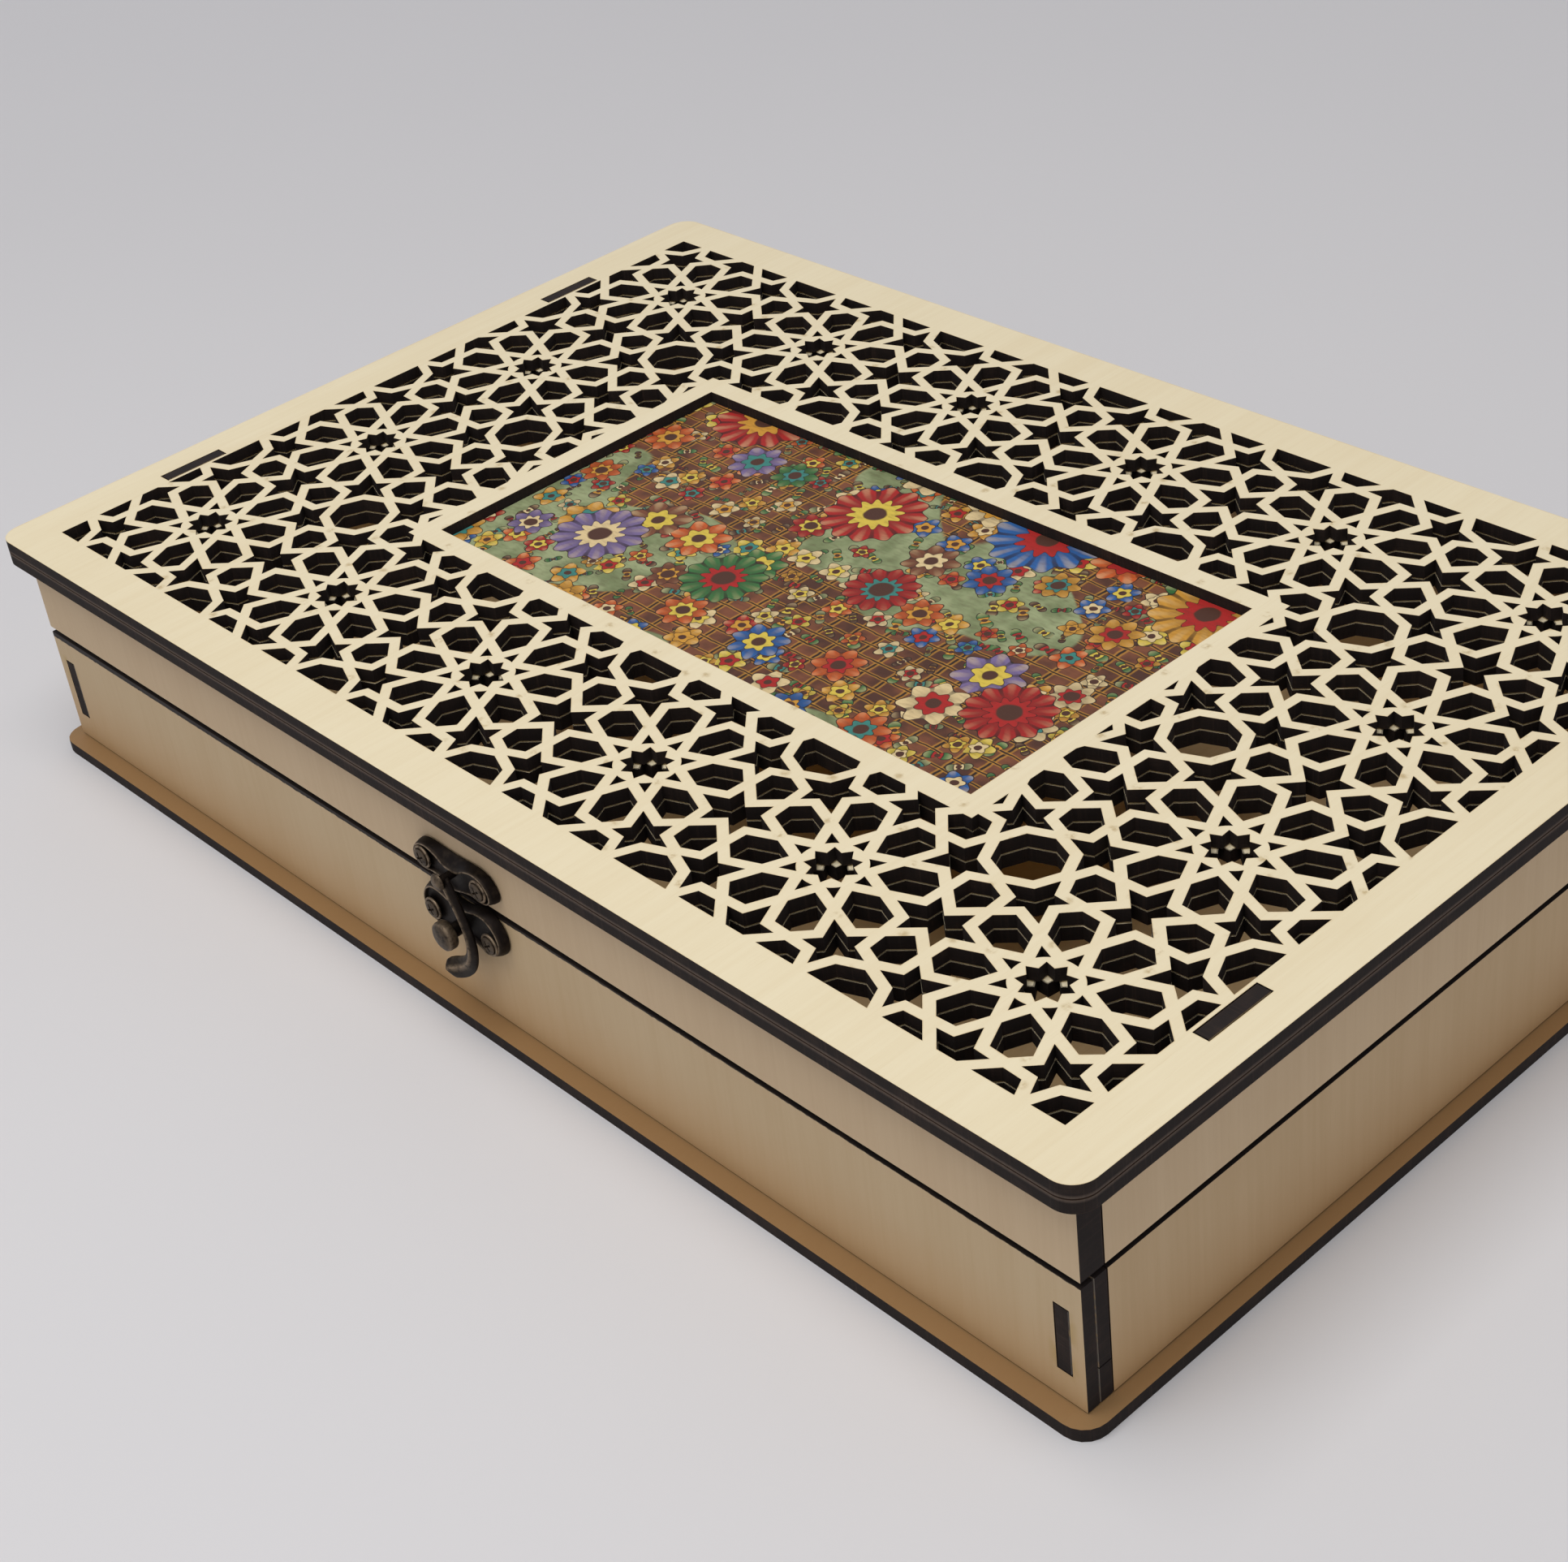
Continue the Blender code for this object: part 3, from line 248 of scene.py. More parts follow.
# Plywood: grain, finish, handling marks and the amber line beside each cut
GRAIN_ACROSS = 900.0
GRAIN_ALONG = 28.0
WALL_CONTRAST = 0.45
LID_CONTRAST = 0.5
PLY_ROUGHNESS = 0.58
EDGE_ROUGHNESS = 0.25
PLY_BUMP = 0.12
PLY_BUMP_DEPTH = 0.0001
PLY_SPECULAR = 0.3
HANDLING_SCALE = 30.0
HANDLING_AMOUNT = 0.3
AMBER_WIDTH = 0.0005
AMBER_BREAKS = 260.0
AMBER_AMOUNT = 0.55

# Plywood: smoke and painted shade on the lid's lower panel where the upper panel covers it, and
# where the two panels meet
SMOKE_AND_SHADE_WIDTH = 0.0007
SMOKE_AND_SHADE_BREAKS = 90.0
SMOKE_AND_SHADE_GAIN = 6.0
SMOKE_AND_SHADE_MOST = 0.97
BORDER_SMOKE_AND_SHADE = (0.0022, 0.0035)
OUTER_EDGE = (0.0016, 0.0018)
NO_JOIN = -1.0
JOIN_REACH = (0.0003, 0.0009)

# Plywood: dots on the lattice, painted warm shade at the foot of the walls, ledge, glue and soot
# of the tray
DOT_SPACING = 0.011
DOT_REACH = (0.01, 0.13)
DOT_BORDER = (-0.0005, 0.0)
DOT_AMOUNT = 0.6
FOOT_SHADE_TOP = 0.026
FOOT_SHADE_BOTTOM = 0.002
FOOT_SHADE_AMOUNT = 0.5
LEDGE_EDGE = (0.0045, 0.0055)
LEDGE_AMOUNT = 0.9
GLUE_START = 0.0943
GLUE_END = 0.0949
# Soot and painted shadow along the seam under the lid
SEAM_SOOT_AND_SHADOW_ENDS = (0.13, -0.15)
SEAM_SOOT_AND_SHADOW_DEPTH = 0.0011
SEAM_SOOT_AND_SHADOW_RAGGED = 0.0005
SEAM_SOOT_AND_SHADOW_BLUR = 0.0002
SLOT_MIDDLE = 0.0167
SLOT_HALF_WIDTH = 0.0017
SLOT_HALF_HEIGHT = 0.0072
SLOT_SOOT_REACH = 0.0022
SLOT_SOOT_AMOUNT = 0.5

# Bronze, the angles in degrees from which an edge stays sharp, and what is welded together
BRONZE_SLOT = "antique_bronze"
BRONZE_METALLIC = 0.7
BRONZE_SPECULAR = 0.2
BRONZE_BUMP = 0.2
BRONZE_BUMP_DEPTH = 0.00006
CAST_ANGLE = 50
TURNED_ANGLE = 40
LEAF_SOFTNESS = 0.00012
LEAF_BEVEL_ANGLE = 35
LEAF_WELD = 0.000002
SHEET_WELD = 0.000001

# World, floor and lamps, each lamp with its name, place, size, power and colour
AMBIENT_TONE = (1.0, 0.98, 0.96, 1.0)
AMBIENT_STRENGTH = 0.30
FLOOR_LIT_REACH = 0.2
FLOOR_DARK_REACH = 2.2
FLOOR_LIFT = 0.55
FLOOR_SIZE = 6.0
FLOOR_ROUGHNESS = 0.7
FLOOR_SHADE = (0.97, 0.97, 0.97, 1.0)
LAMPS = (
    ("key_lamp", (0.06, -0.3, 1.05), 0.8, 7.6, (1.0, 0.98, 0.95)),
    ("front_lamp", (1.0, -1.3, 0.7), 0.8, 1.0, (1.0, 0.97, 0.92)),
)

# Colours of the printed card
PRINT_SAGE = tone(164, 174, 132)
PRINT_MOSS = tone(122, 134, 94)
PRINT_RUST = tone(128, 78, 54)
PRINT_EARTH = tone(76, 46, 34)
PRINT_LINE = tone(30, 18, 14)
PRINT_OCHRE = tone(214, 156, 62)
PRINT_RED = tone(176, 40, 38)
PRINT_TEAL = tone(62, 134, 126)
PRINT_BLUE = tone(44, 100, 168)
PRINT_LILAC = tone(128, 112, 158)
PRINT_GREEN = tone(62, 120, 66)
PRINT_ORANGE = tone(208, 98, 46)
PRINT_YELLOW = tone(226, 200, 84)
PRINT_CREAM = tone(232, 208, 158)
PRINT_WOBBLE = 0.0009
PRINT_SPECULAR = 0.25
PRINT_BUMP = 0.06
PRINT_BUMP_DEPTH = 0.00005

# Trellis of the print: slats across X and Y, and how wide their wood and their dark line are
TRELLIS_SPACING = 0.0058
SLAT_SPACINGS = (("X", TRELLIS_SPACING), ("Y", TRELLIS_SPACING / 1.6))
SLAT_WOOD = (0.10, 0.16)
SLAT_LINE = (0.03, 0.07)
BOARD_PATCHES = (0.485, 0.495)

# Flowers: how they are strewn and turned, their size as a share of the radius, their inked
# outline, their petals and their heart
FLOWER_SCATTER = 0.7
FLOWER_TURN = 6.0
SHIFT_LEAN = 0.7
FLOWER_SIZE = 0.6
FLOWER_GROWTH = 0.45
INK_REACH = (-0.0001, 0.00005)
PETAL_REACH = (0.00012, 0.0003)
RAY_AMOUNT = 0.4
SHADE_AMOUNT = 0.55
PETAL_DARKEST = 0.85
HEART_SHARE = 0.46
HEART_WAVE = -0.08
HEART_LINE = 0.0002
HEART_COLOURS = (PRINT_YELLOW, PRINT_CREAM, PRINT_RED, PRINT_OCHRE, PRINT_TEAL)

# Flowers of the print from the ground up: spacing, radius, petals, how deep the gaps between the
# petals are, how far the pattern is shifted, and the colours of the flowers
FLOWER_LAYERS = (
    (0.0064, 0.0030, 2, 0.42, 0.03, (PRINT_GREEN, PRINT_EARTH, PRINT_MOSS, PRINT_GREEN)),
    (0.0098, 0.0042, 5, 0.16, 0.11, (
        PRINT_YELLOW, PRINT_RED, PRINT_CREAM, PRINT_ORANGE, PRINT_BLUE, PRINT_OCHRE)),
    (0.0200, 0.0078, 7, 0.13, 0.24, (
        PRINT_OCHRE, PRINT_RED, PRINT_GREEN, PRINT_ORANGE, PRINT_BLUE, PRINT_CREAM, PRINT_LILAC,
        PRINT_RUST)),
    (0.0480, 0.0130, 12, 0.07, 0.66, (
        PRINT_RED, PRINT_OCHRE, PRINT_BLUE, PRINT_GREEN, PRINT_RED, PRINT_LILAC)),
)


# Shader graphs

class Graph:
    """Adds nodes to one tree. A value given to a node is a number, a colour or a socket."""

    def __init__(self, tree):
        self.tree = tree

    def feed(self, socket, value):
        if isinstance(value, bpy.types.NodeSocket):
            self.tree.links.new(value, socket)
        else:
            socket.default_value = value

    def add(self, kind, inputs=None, **settings):
        node = self.tree.nodes.new(kind)
        for key, value in settings.items():
            setattr(node, key, value)
        for key, value in (inputs or {}).items():
            self.feed(node.inputs[key], value)
        return node

    def fill(self, tree, named):
        node = self.tree.nodes.new("ShaderNodeGroup")
        node.node_tree = tree
        for key, value in named.items():
            self.feed(node.inputs[key], value)
        return node.outputs

    def calculated(self, kind, operation, values):
        node = self.add(kind, operation=operation)
        for socket, value in zip(node.inputs, values):
            self.feed(socket, value)
        return node.outputs

    def math(self, operation, *values):
        return self.calculated("ShaderNodeMath", operation, values)[0]

    def vector(self, operation, *values):
        outputs = self.calculated("ShaderNodeVectorMath", operation, values)
        return outputs["Value" if operation in ("DOT_PRODUCT", "LENGTH") else "Vector"]

    def times(self, first, second):
        return self.math("MULTIPLY", first, second)

    def times_plus(self, first, second, third):
        return self.math("MULTIPLY_ADD", first, second, third)

    def minus(self, first, second):
        return self.math("SUBTRACT", first, second)

    def gap(self, first, second):
        """How far apart two values are."""
        return self.math("ABSOLUTE", self.minus(first, second))

    def split(self, vector):
        """The X, Y and Z of a vector."""
        return self.add("ShaderNodeSeparateXYZ", {"Vector": vector}).outputs

    def upwards(self, height):
        """A vector of this height along Z."""
        return self.add("ShaderNodeCombineXYZ", {"Z": height}).outputs["Vector"]

    def radius(self, parts):
        """How far from the Z axis the split vector reaches."""
        return self.math("SQRT", self.math("ADD", self.times(parts["X"], parts["X"]),
                                           self.times(parts["Y"], parts["Y"])))

    def scaled(self, vector, factor):
        values = {"Vector": vector, "Scale": factor}
        return self.add("ShaderNodeVectorMath", values, operation="SCALE").outputs["Vector"]

    def blend(self, factor, first, second, mode="MIX"):
        node = self.add("ShaderNodeMix", data_type="RGBA", blend_type=mode)
        for index, value in ((0, factor), (6, first), (7, second)):
            self.feed(node.inputs[index], value)
        return node.outputs[2]

    def smooth(self, value, low, high):
        """0 below low, 1 above high and a soft step between."""
        node = self.add("ShaderNodeMapRange", interpolation_type="SMOOTHSTEP")
        for key, number in (("Value", value), ("From Min", low), ("From Max", high)):
            self.feed(node.inputs[key], number)
        return node.outputs["Result"]

    def fade(self, value, low, high):
        """1 below low, 0 above high and a soft step between."""
        return self.minus(1.0, self.smooth(value, low, high))

    def noise(self, position, scale, detail=2.0, roughness=0.5):
        values = {"Vector": position, "Scale": scale, "Detail": detail, "Roughness": roughness}
        return self.add("ShaderNodeTexNoise", values).outputs["Fac"]

    def cells(self, position, spacing, randomness):
        """The outputs of a flat pattern of cells that are about this far apart."""
        values = {"Vector": position, "Scale": 1.0 / spacing, "Randomness": randomness}
        return self.add("ShaderNodeTexVoronoi", values, voronoi_dimensions="2D").outputs

    def palette(self, factor, colours):
        """One of the colours, each for an equal share of the factor from 0 to 1."""
        ramp = self.add("ShaderNodeValToRGB", {"Fac": factor})
        ramp.color_ramp.interpolation = "CONSTANT"
        elements = ramp.color_ramp.elements
        while len(elements) < len(colours):
            elements.new(1.0)
        for index, colour in enumerate(colours):
            elements[index].position = index / len(colours)
            elements[index].color = colour
        return ramp.outputs["Color"]

    def moved(self, mesh, offset):
        values = {"Geometry": mesh, "Translation": offset}
        return self.add("GeometryNodeTransform", values).outputs["Geometry"]

    def joined(self, meshes):
        node = self.add("GeometryNodeJoinGeometry")
        for mesh in meshes:
            self.feed(node.inputs["Geometry"], mesh)
        return node.outputs["Geometry"]

    def finished(self, mesh, material):
        """The mesh as real geometry in one material."""
        real = self.add("GeometryNodeRealizeInstances", {"Geometry": mesh}).outputs["Geometry"]
        values = {"Geometry": real, "Material": material}
        return self.add("GeometryNodeSetMaterial", values).outputs["Geometry"]


KINDS = {
    "vector": "NodeSocketVector", "colour": "NodeSocketColor", "number": "NodeSocketFloat",
    "geometry": "NodeSocketGeometry", "material": "NodeSocketMaterial", "whole": "NodeSocketInt",
}


def new_group(name, kind, inputs, outputs):
    """A node group with named sockets, and its graph, input sockets and output node."""
    tree = bpy.data.node_groups.new(name, kind)
    for label, (socket_kind, value) in inputs.items():
        socket = tree.interface.new_socket(label, in_out="INPUT", socket_type=KINDS[socket_kind])
        if value is not None:
            socket.default_value = value
    for label, socket_kind in outputs.items():
        tree.interface.new_socket(label, in_out="OUTPUT", socket_type=KINDS[socket_kind])
    graph = Graph(tree)
    return tree, graph, graph.add("NodeGroupInput").outputs, graph.add("NodeGroupOutput").inputs


def wood_grain_group():
    """Fine lines and soft clouds of a pale veneer; Stretch is small along the grain."""
    tree, graph, given, result = new_group("Wood grain", "ShaderNodeTree", {
        "Position": ("vector", None), "Stretch": ("vector", (1.0, 1.0, 1.0)),
        "Pale": ("colour", VENEER[0]), "Deep": ("colour", VENEER[1]), "Contrast": ("number", 1.0),
    }, {"Color": "colour", "Height": "number"})
    stretched = graph.vector("MULTIPLY", given["Position"], given["Stretch"])
    figure = graph.noise(stretched, 1.0, 4.0, 0.55)
    pores = graph.noise(graph.scaled(stretched, PORE_SCALE), 1.0, 2.0, 0.6)
    cloud = graph.noise(given["Position"], CLOUD_SCALE, 3.0, 0.6)
    bands = graph.noise(graph.vector("MULTIPLY", stretched, (0.16, 0.3, 0.16)), 1.0, 2.0)
    spread = 0.42
    for pattern, weight in ((figure, 1.1), (cloud, 0.8), (bands, 0.9)):
        spread = graph.times_plus(graph.minus(pattern, 0.5), weight, spread)
    depth = graph.times(graph.smooth(spread, 0.0, 1.0), given["Contrast"])
    colour = graph.blend(depth, given["Pale"], given["Deep"])
    flecks = graph.times(graph.smooth(pores, 0.60, 0.74), 0.35)
    graph.feed(result["Color"], graph.blend(flecks, colour, given["Deep"]))
    graph.feed(result["Height"], graph.minus(figure, flecks))
    return tree


def laser_edge_group():
    """Where a sheet was cut through: Edge is 1 there, with its charred colour."""
    tree, graph, given, result = new_group("Laser-cut edge", "ShaderNodeTree", {
        "Position": ("vector", None), "Normal": ("vector", None), "Axis": ("vector", Z_AXIS),
        "Low": ("number", 0.0), "High": ("number", PLY_THICKNESS), "Join": ("number", NO_JOIN),
        "Char": ("colour", CHAR_AND_SHADOW), "Ash": ("colour", ASH_AND_SHADE), "Smoke": ("colour", SMOKE),
    }, {"Edge": "number", "Color": "colour", "Height": "number"})
    facing = graph.math("ABSOLUTE", graph.vector("DOT_PRODUCT", given["Normal"], given["Axis"]))
    level = graph.vector("DOT_PRODUCT", given["Position"], given["Axis"])
    thickness = graph.minus(given["High"], given["Low"])
    share = graph.math("DIVIDE", graph.minus(level, given["Low"]), thickness)
    from_middle = graph.gap(share, 0.5)
    across = graph.vector("SUBTRACT", given["Position"], graph.scaled(given["Axis"], level))
    strokes = graph.noise(across, STROKE_SCALE, 2.0, 0.6)
    smoke = graph.noise(given["Position"], EDGE_SMOKE_SCALE, 3.0, 0.6)
    paleness = graph.times(graph.smooth(strokes, 0.5, 0.85), 0.45)
    paleness = graph.times_plus(graph.smooth(smoke, 0.45, 0.8), 0.35, paleness)
    paleness = graph.times_plus(graph.smooth(from_middle, 0.43, 0.5), 0.4, paleness)
    darker = graph.times(graph.fade(graph.gap(from_middle, 0.17), 0.0, 0.05), 0.35)
    join_line = graph.fade(graph.gap(level, given["Join"]), *JOIN_REACH)
    smoky = graph.times(join_line, graph.times_plus(strokes, 0.5, 0.35))
    colour = graph.blend(paleness, given["Char"], given["Ash"])
    colour = graph.blend(darker, colour, given["Char"])
    graph.feed(result["Edge"], graph.fade(facing, 0.35, 0.75))
    graph.feed(result["Color"], graph.blend(smoky, colour, given["Smoke"]))
    graph.feed(result["Height"], graph.minus(strokes, darker))
    return tree


def rim_group():
    """1 close to the sharp edges of a piece and 0 away from them, with a broken outline."""
    tree, graph, given, result = new_group("Rim", "ShaderNodeTree", {
        "Position": ("vector", None), "Radius": ("number", AMBER_WIDTH),
        "Break Up": ("number", AMBER_BREAKS),
    }, {"Mask": "number"})
    rounded = graph.add("ShaderNodeBevel", {"Radius": given["Radius"]}, samples=6).outputs["Normal"]
    straight = graph.add("ShaderNodeNewGeometry").outputs["Normal"]
    bend = graph.minus(1.0, graph.vector("DOT_PRODUCT", rounded, straight))
    broken = graph.noise(given["Position"], given["Break Up"], 3.0, 0.6)
    graph.feed(result["Mask"], graph.times(graph.smooth(bend, 0.005, 0.16),
                                           graph.smooth(broken, 0.25, 0.65)))
    return tree


def smudge_group():
    """Faint marks of handling: Mask changes slowly over the piece."""
    tree, graph, given, result = new_group("Handling marks", "ShaderNodeTree", {
        "Position": ("vector", None), "Size": ("number", HANDLING_SCALE),
        "Amount": ("number", HANDLING_AMOUNT),
    }, {"Mask": "number"})
    wide = graph.smooth(graph.noise(given["Position"], given["Size"], 4.0, 0.65), 0.5, 0.85)
    graph.feed(result["Mask"], graph.times(wide, given["Amount"]))
    return tree


def rectangle_group():
    """How far inside a rectangle round the middle a point is; less than zero outside it."""
    tree, graph, given, result = new_group("Inside a rectangle", "ShaderNodeTree", {
        "Position": ("vector", None), "Half Length": ("number", WINDOW_LENGTH / 2),
        "Half Width": ("number", WINDOW_WIDTH / 2),
    }, {"Distance": "number"})
    parts = graph.split(given["Position"])
    from_x = graph.minus(given["Half Length"], graph.math("ABSOLUTE", parts["X"]))
    from_y = graph.minus(given["Half Width"], graph.math("ABSOLUTE", parts["Y"]))
    graph.feed(result["Distance"], graph.math("MINIMUM", from_x, from_y))
    return tree


def foot_shade_group():
    """Painted warm shade: Mask grows from nothing at Top to Amount at Foot, which is lower."""
    tree, graph, given, result = new_group("Painted foot shade", "ShaderNodeTree", {
        "Position": ("vector", None), "Top": ("number", FOOT_SHADE_TOP), "Foot": ("number", FOOT_SHADE_BOTTOM),
        "Amount": ("number", FOOT_SHADE_AMOUNT),
    }, {"Mask": "number"})
    height = graph.split(given["Position"])["Z"]
    graph.feed(result["Mask"], graph.times(graph.smooth(height, given["Top"], given["Foot"]),
                                           given["Amount"]))
    return tree


def glue_group():
    """A ragged line of glue, from nothing at Start to full at End, to the front and the back."""
    tree, graph, given, result = new_group("Glue line", "ShaderNodeTree", {
        "Position": ("vector", None), "Start": ("number", GLUE_START), "End": ("number", GLUE_END),
        "Break Up": ("number", GLUE_SCALE),
    }, {"Mask": "number"})
    out = graph.math("ABSOLUTE", graph.split(given["Position"])["Y"])
    ragged = graph.smooth(graph.noise(given["Position"], given["Break Up"], 2.0), 0.3, 0.5)
    graph.feed(result["Mask"], graph.times(graph.smooth(out, given["Start"], given["End"]), ragged))
    return tree


def bronze_group():
    """Dark patina with pale metal where it is rubbed, and where a highlight is painted."""
    tree, graph, given, result = new_group("Rubbed and highlit bronze", "ShaderNodeTree", {
        "Position": ("vector", None), "Rim": ("number", 0.0),
        "Patina": ("colour", BRONZE), "Rubbed And Highlit": ("colour", BRONZE_RUBBED_AND_HIGHLIGHT),
    }, {"Color": "colour", "Roughness": "number", "Height": "number"})
    cloud = graph.noise(given["Position"], CAST_CLOUD_SCALE, 4.0, 0.6)
    grit = graph.noise(given["Position"], CAST_GRIT_SCALE, 2.0, 0.6)
    bare_and_lit = graph.times_plus(graph.smooth(cloud, 0.5, 0.9), 0.14, given["Rim"])
    bare_and_lit = graph.math("MINIMUM", bare_and_lit, 1.0)
    graph.feed(result["Color"], graph.blend(bare_and_lit, given["Patina"], given["Rubbed And Highlit"]))
    dull = graph.times_plus(grit, 0.18, 0.42)
    graph.feed(result["Roughness"], graph.times_plus(bare_and_lit, -0.12, dull))
    graph.feed(result["Height"], graph.times_plus(grit, 0.4, cloud))
    return tree


WOOD_GRAIN = wood_grain_group()
LASER_EDGE = laser_edge_group()
RIM = rim_group()
SMUDGE = smudge_group()
INSIDE_RECTANGLE = rectangle_group()
PAINTED_FOOT_SHADE = foot_shade_group()
GLUE_LINE = glue_group()
RUBBED_AND_HIGHLIT_BRONZE = bronze_group()


def new_material(name):
    """A material with its shader, its graph and the position and normal on the piece."""
    material = bpy.data.materials.new(name)
    material.use_nodes = True
    graph = Graph(material.node_tree)
    shader = material.node_tree.nodes["Principled BSDF"]
    place = graph.add("ShaderNodeTexCoord").outputs
    return material, graph, shader, place["Object"], place["Normal"]


def bump(graph, shader, height, strength, distance):
    values = {"Height": height, "Strength": strength, "Distance": distance}
    graph.feed(shader.inputs["Normal"], graph.add("ShaderNodeBump", values).outputs["Normal"])


def plywood(name, thickness_axis, grain_axis, low, high, wood, contrast, marks=(), join=None):
    """Laser-cut plywood: veneer on its faces and char on its cut edges, from low to high.
    Each of the marks adds its own colour over the veneer; join gives the level of a smoky line."""
    material, graph, shader, position, normal = new_material(name)
    pale, deep = wood
    stretch = tuple(GRAIN_ALONG if share else GRAIN_ACROSS for share in grain_axis)
    grain = graph.fill(WOOD_GRAIN, {
        "Position": position, "Stretch": stretch, "Pale": pale, "Deep": deep, "Contrast": contrast})
    edge = graph.fill(LASER_EDGE, {
        "Position": position, "Normal": normal, "Axis": thickness_axis, "Low": low, "High": high,
        "Join": join(graph, position) if join else NO_JOIN})
    handled = graph.fill(SMUDGE, {
        "Position": position, "Size": HANDLING_SCALE, "Amount": HANDLING_AMOUNT})["Mask"]
    face = graph.blend(handled, grain["Color"], deep)
    for colour, mask in marks:
        face = graph.blend(mask(graph, position), face, colour)
    graph.feed(shader.inputs["Base Color"], graph.blend(edge["Edge"], face, edge["Color"]))
    dull = graph.times_plus(edge["Edge"], EDGE_ROUGHNESS, PLY_ROUGHNESS)
    graph.feed(shader.inputs["Roughness"], dull)
    height = graph.times_plus(edge["Edge"], edge["Height"], grain["Height"])
    bump(graph, shader, height, PLY_BUMP, PLY_BUMP_DEPTH)
    shader.inputs["Specular IOR Level"].default_value = PLY_SPECULAR
    return material


def cut_rim(graph, position, width, breaks):
    return graph.fill(RIM, {"Position": position, "Radius": width, "Break Up": breaks})["Mask"]


def amber_rim(graph, position):
    """The narrow amber line that the laser left beside every cut."""
    return graph.times(cut_rim(graph, position, AMBER_WIDTH, AMBER_BREAKS), AMBER_AMOUNT)


def smoke_and_shade_rim(graph, position):
    """Broken smoke and painted shade beside the cuts of the lid's lower panel, under the upper one.
    """
    mask = graph.times(cut_rim(graph, position, SMOKE_AND_SHADE_WIDTH, SMOKE_AND_SHADE_BREAKS), SMOKE_AND_SHADE_GAIN)
    return graph.math("MINIMUM", mask, SMOKE_AND_SHADE_MOST)


def edge_distance(graph, position, half_length, half_width):
    return graph.fill(INSIDE_RECTANGLE, {
        "Position": position, "Half Length": half_length, "Half Width": half_width})["Distance"]


def soot_dots(graph, position):
    """Faint dots on the lattice where the laser paused."""
    cells = graph.cells(position, DOT_SPACING, 1.0)
    near = graph.fade(cells["Distance"], *DOT_REACH)
    ragged = graph.smooth(graph.noise(position, RAGGED_SCALE, 3.0), 0.35, 0.65)
    half_length, half_width = CELLS_LONG * CELL_LENGTH / 2, CELLS_WIDE * CELL_WIDTH / 2
    away = edge_distance(graph, position, half_length, half_width)
    inside = graph.times(graph.smooth(away, *DOT_BORDER), DOT_AMOUNT)
    return graph.times(graph.times(near, ragged), inside)


def panel_join(graph, position):
    """The level where the lid's two panels meet, on their outer edge alone."""
    low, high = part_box("lid_top_lattice")[0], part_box("lid_under_lattice")[1]
    inside = graph.smooth(edge_distance(graph, position, high.x, high.y), *OUTER_EDGE)
    return graph.minus((low.z + high.z) / 2, inside)


def smoke_and_shade_border(graph, position):
    """Smoke and painted shade between the lid's two panels along their outer edge."""
    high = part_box("lid_under_lattice")[1]
    return graph.fade(edge_distance(graph, position, high.x, high.y), *BORDER_SMOKE_AND_SHADE)


def painted_foot_shade(graph, position):
    """Painted shade that turns the wood darker and warmer towards the foot of a wall."""
    return graph.fill(PAINTED_FOOT_SHADE, {
        "Position": position, "Top": FOOT_SHADE_TOP, "Foot": FOOT_SHADE_BOTTOM, "Amount": FOOT_SHADE_AMOUNT})["Mask"]


def ledge_shade(graph, position):
    """The ledge of the base plate outside the walls, which is warmer than its inside."""
    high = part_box("base_plate")[1]
    away = edge_distance(graph, position, high.x, high.y)
    return graph.times(graph.fade(away, *LEDGE_EDGE), LEDGE_AMOUNT)


def glue_line(graph, position):
    """Pale glue behind the front and back skins, seen where the layers end."""
    return graph.fill(GLUE_LINE, {
        "Position": position, "Start": GLUE_START, "End": GLUE_END, "Break Up": GLUE_SCALE})["Mask"]


def seam_soot_and_shadow(graph, position):
    """Soot and painted shadow: a ragged dark line at the seam of tray and lid, deeper to the left.
    """
    parts = graph.split(position)
    ragged = graph.times(graph.noise(position, RAGGED_SCALE, 3.0, 0.6), SEAM_SOOT_AND_SHADOW_RAGGED)
    lean = graph.smooth(parts["X"], *SEAM_SOOT_AND_SHADOW_ENDS)
    reach = graph.times_plus(lean, SEAM_SOOT_AND_SHADOW_DEPTH, ragged)
    below = graph.minus(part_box("base_front_skin")[1].z, parts["Z"])
    return graph.smooth(graph.minus(reach, below), 0.0, SEAM_SOOT_AND_SHADOW_BLUR)


def slot_soot(graph, position):
    """Soot that the laser left beside the two tab slots of the front wall."""
    slot_x = sum(corner.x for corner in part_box("base_right_wall")) / 2
    parts = graph.split(position)
    beside = graph.gap(graph.math("ABSOLUTE", parts["X"]), slot_x)
    above = graph.gap(parts["Z"], SLOT_MIDDLE)
    reach = graph.math("MAXIMUM", graph.minus(beside, SLOT_HALF_WIDTH),
                       graph.minus(above, SLOT_HALF_HEIGHT))
    near = graph.fade(reach, 0.0, SLOT_SOOT_REACH)
    smoke = graph.smooth(graph.noise(position, SLOT_SMOKE_SCALE, 2.0), 0.48, 0.72)
    return graph.times(graph.times(near, smoke), SLOT_SOOT_AMOUNT)


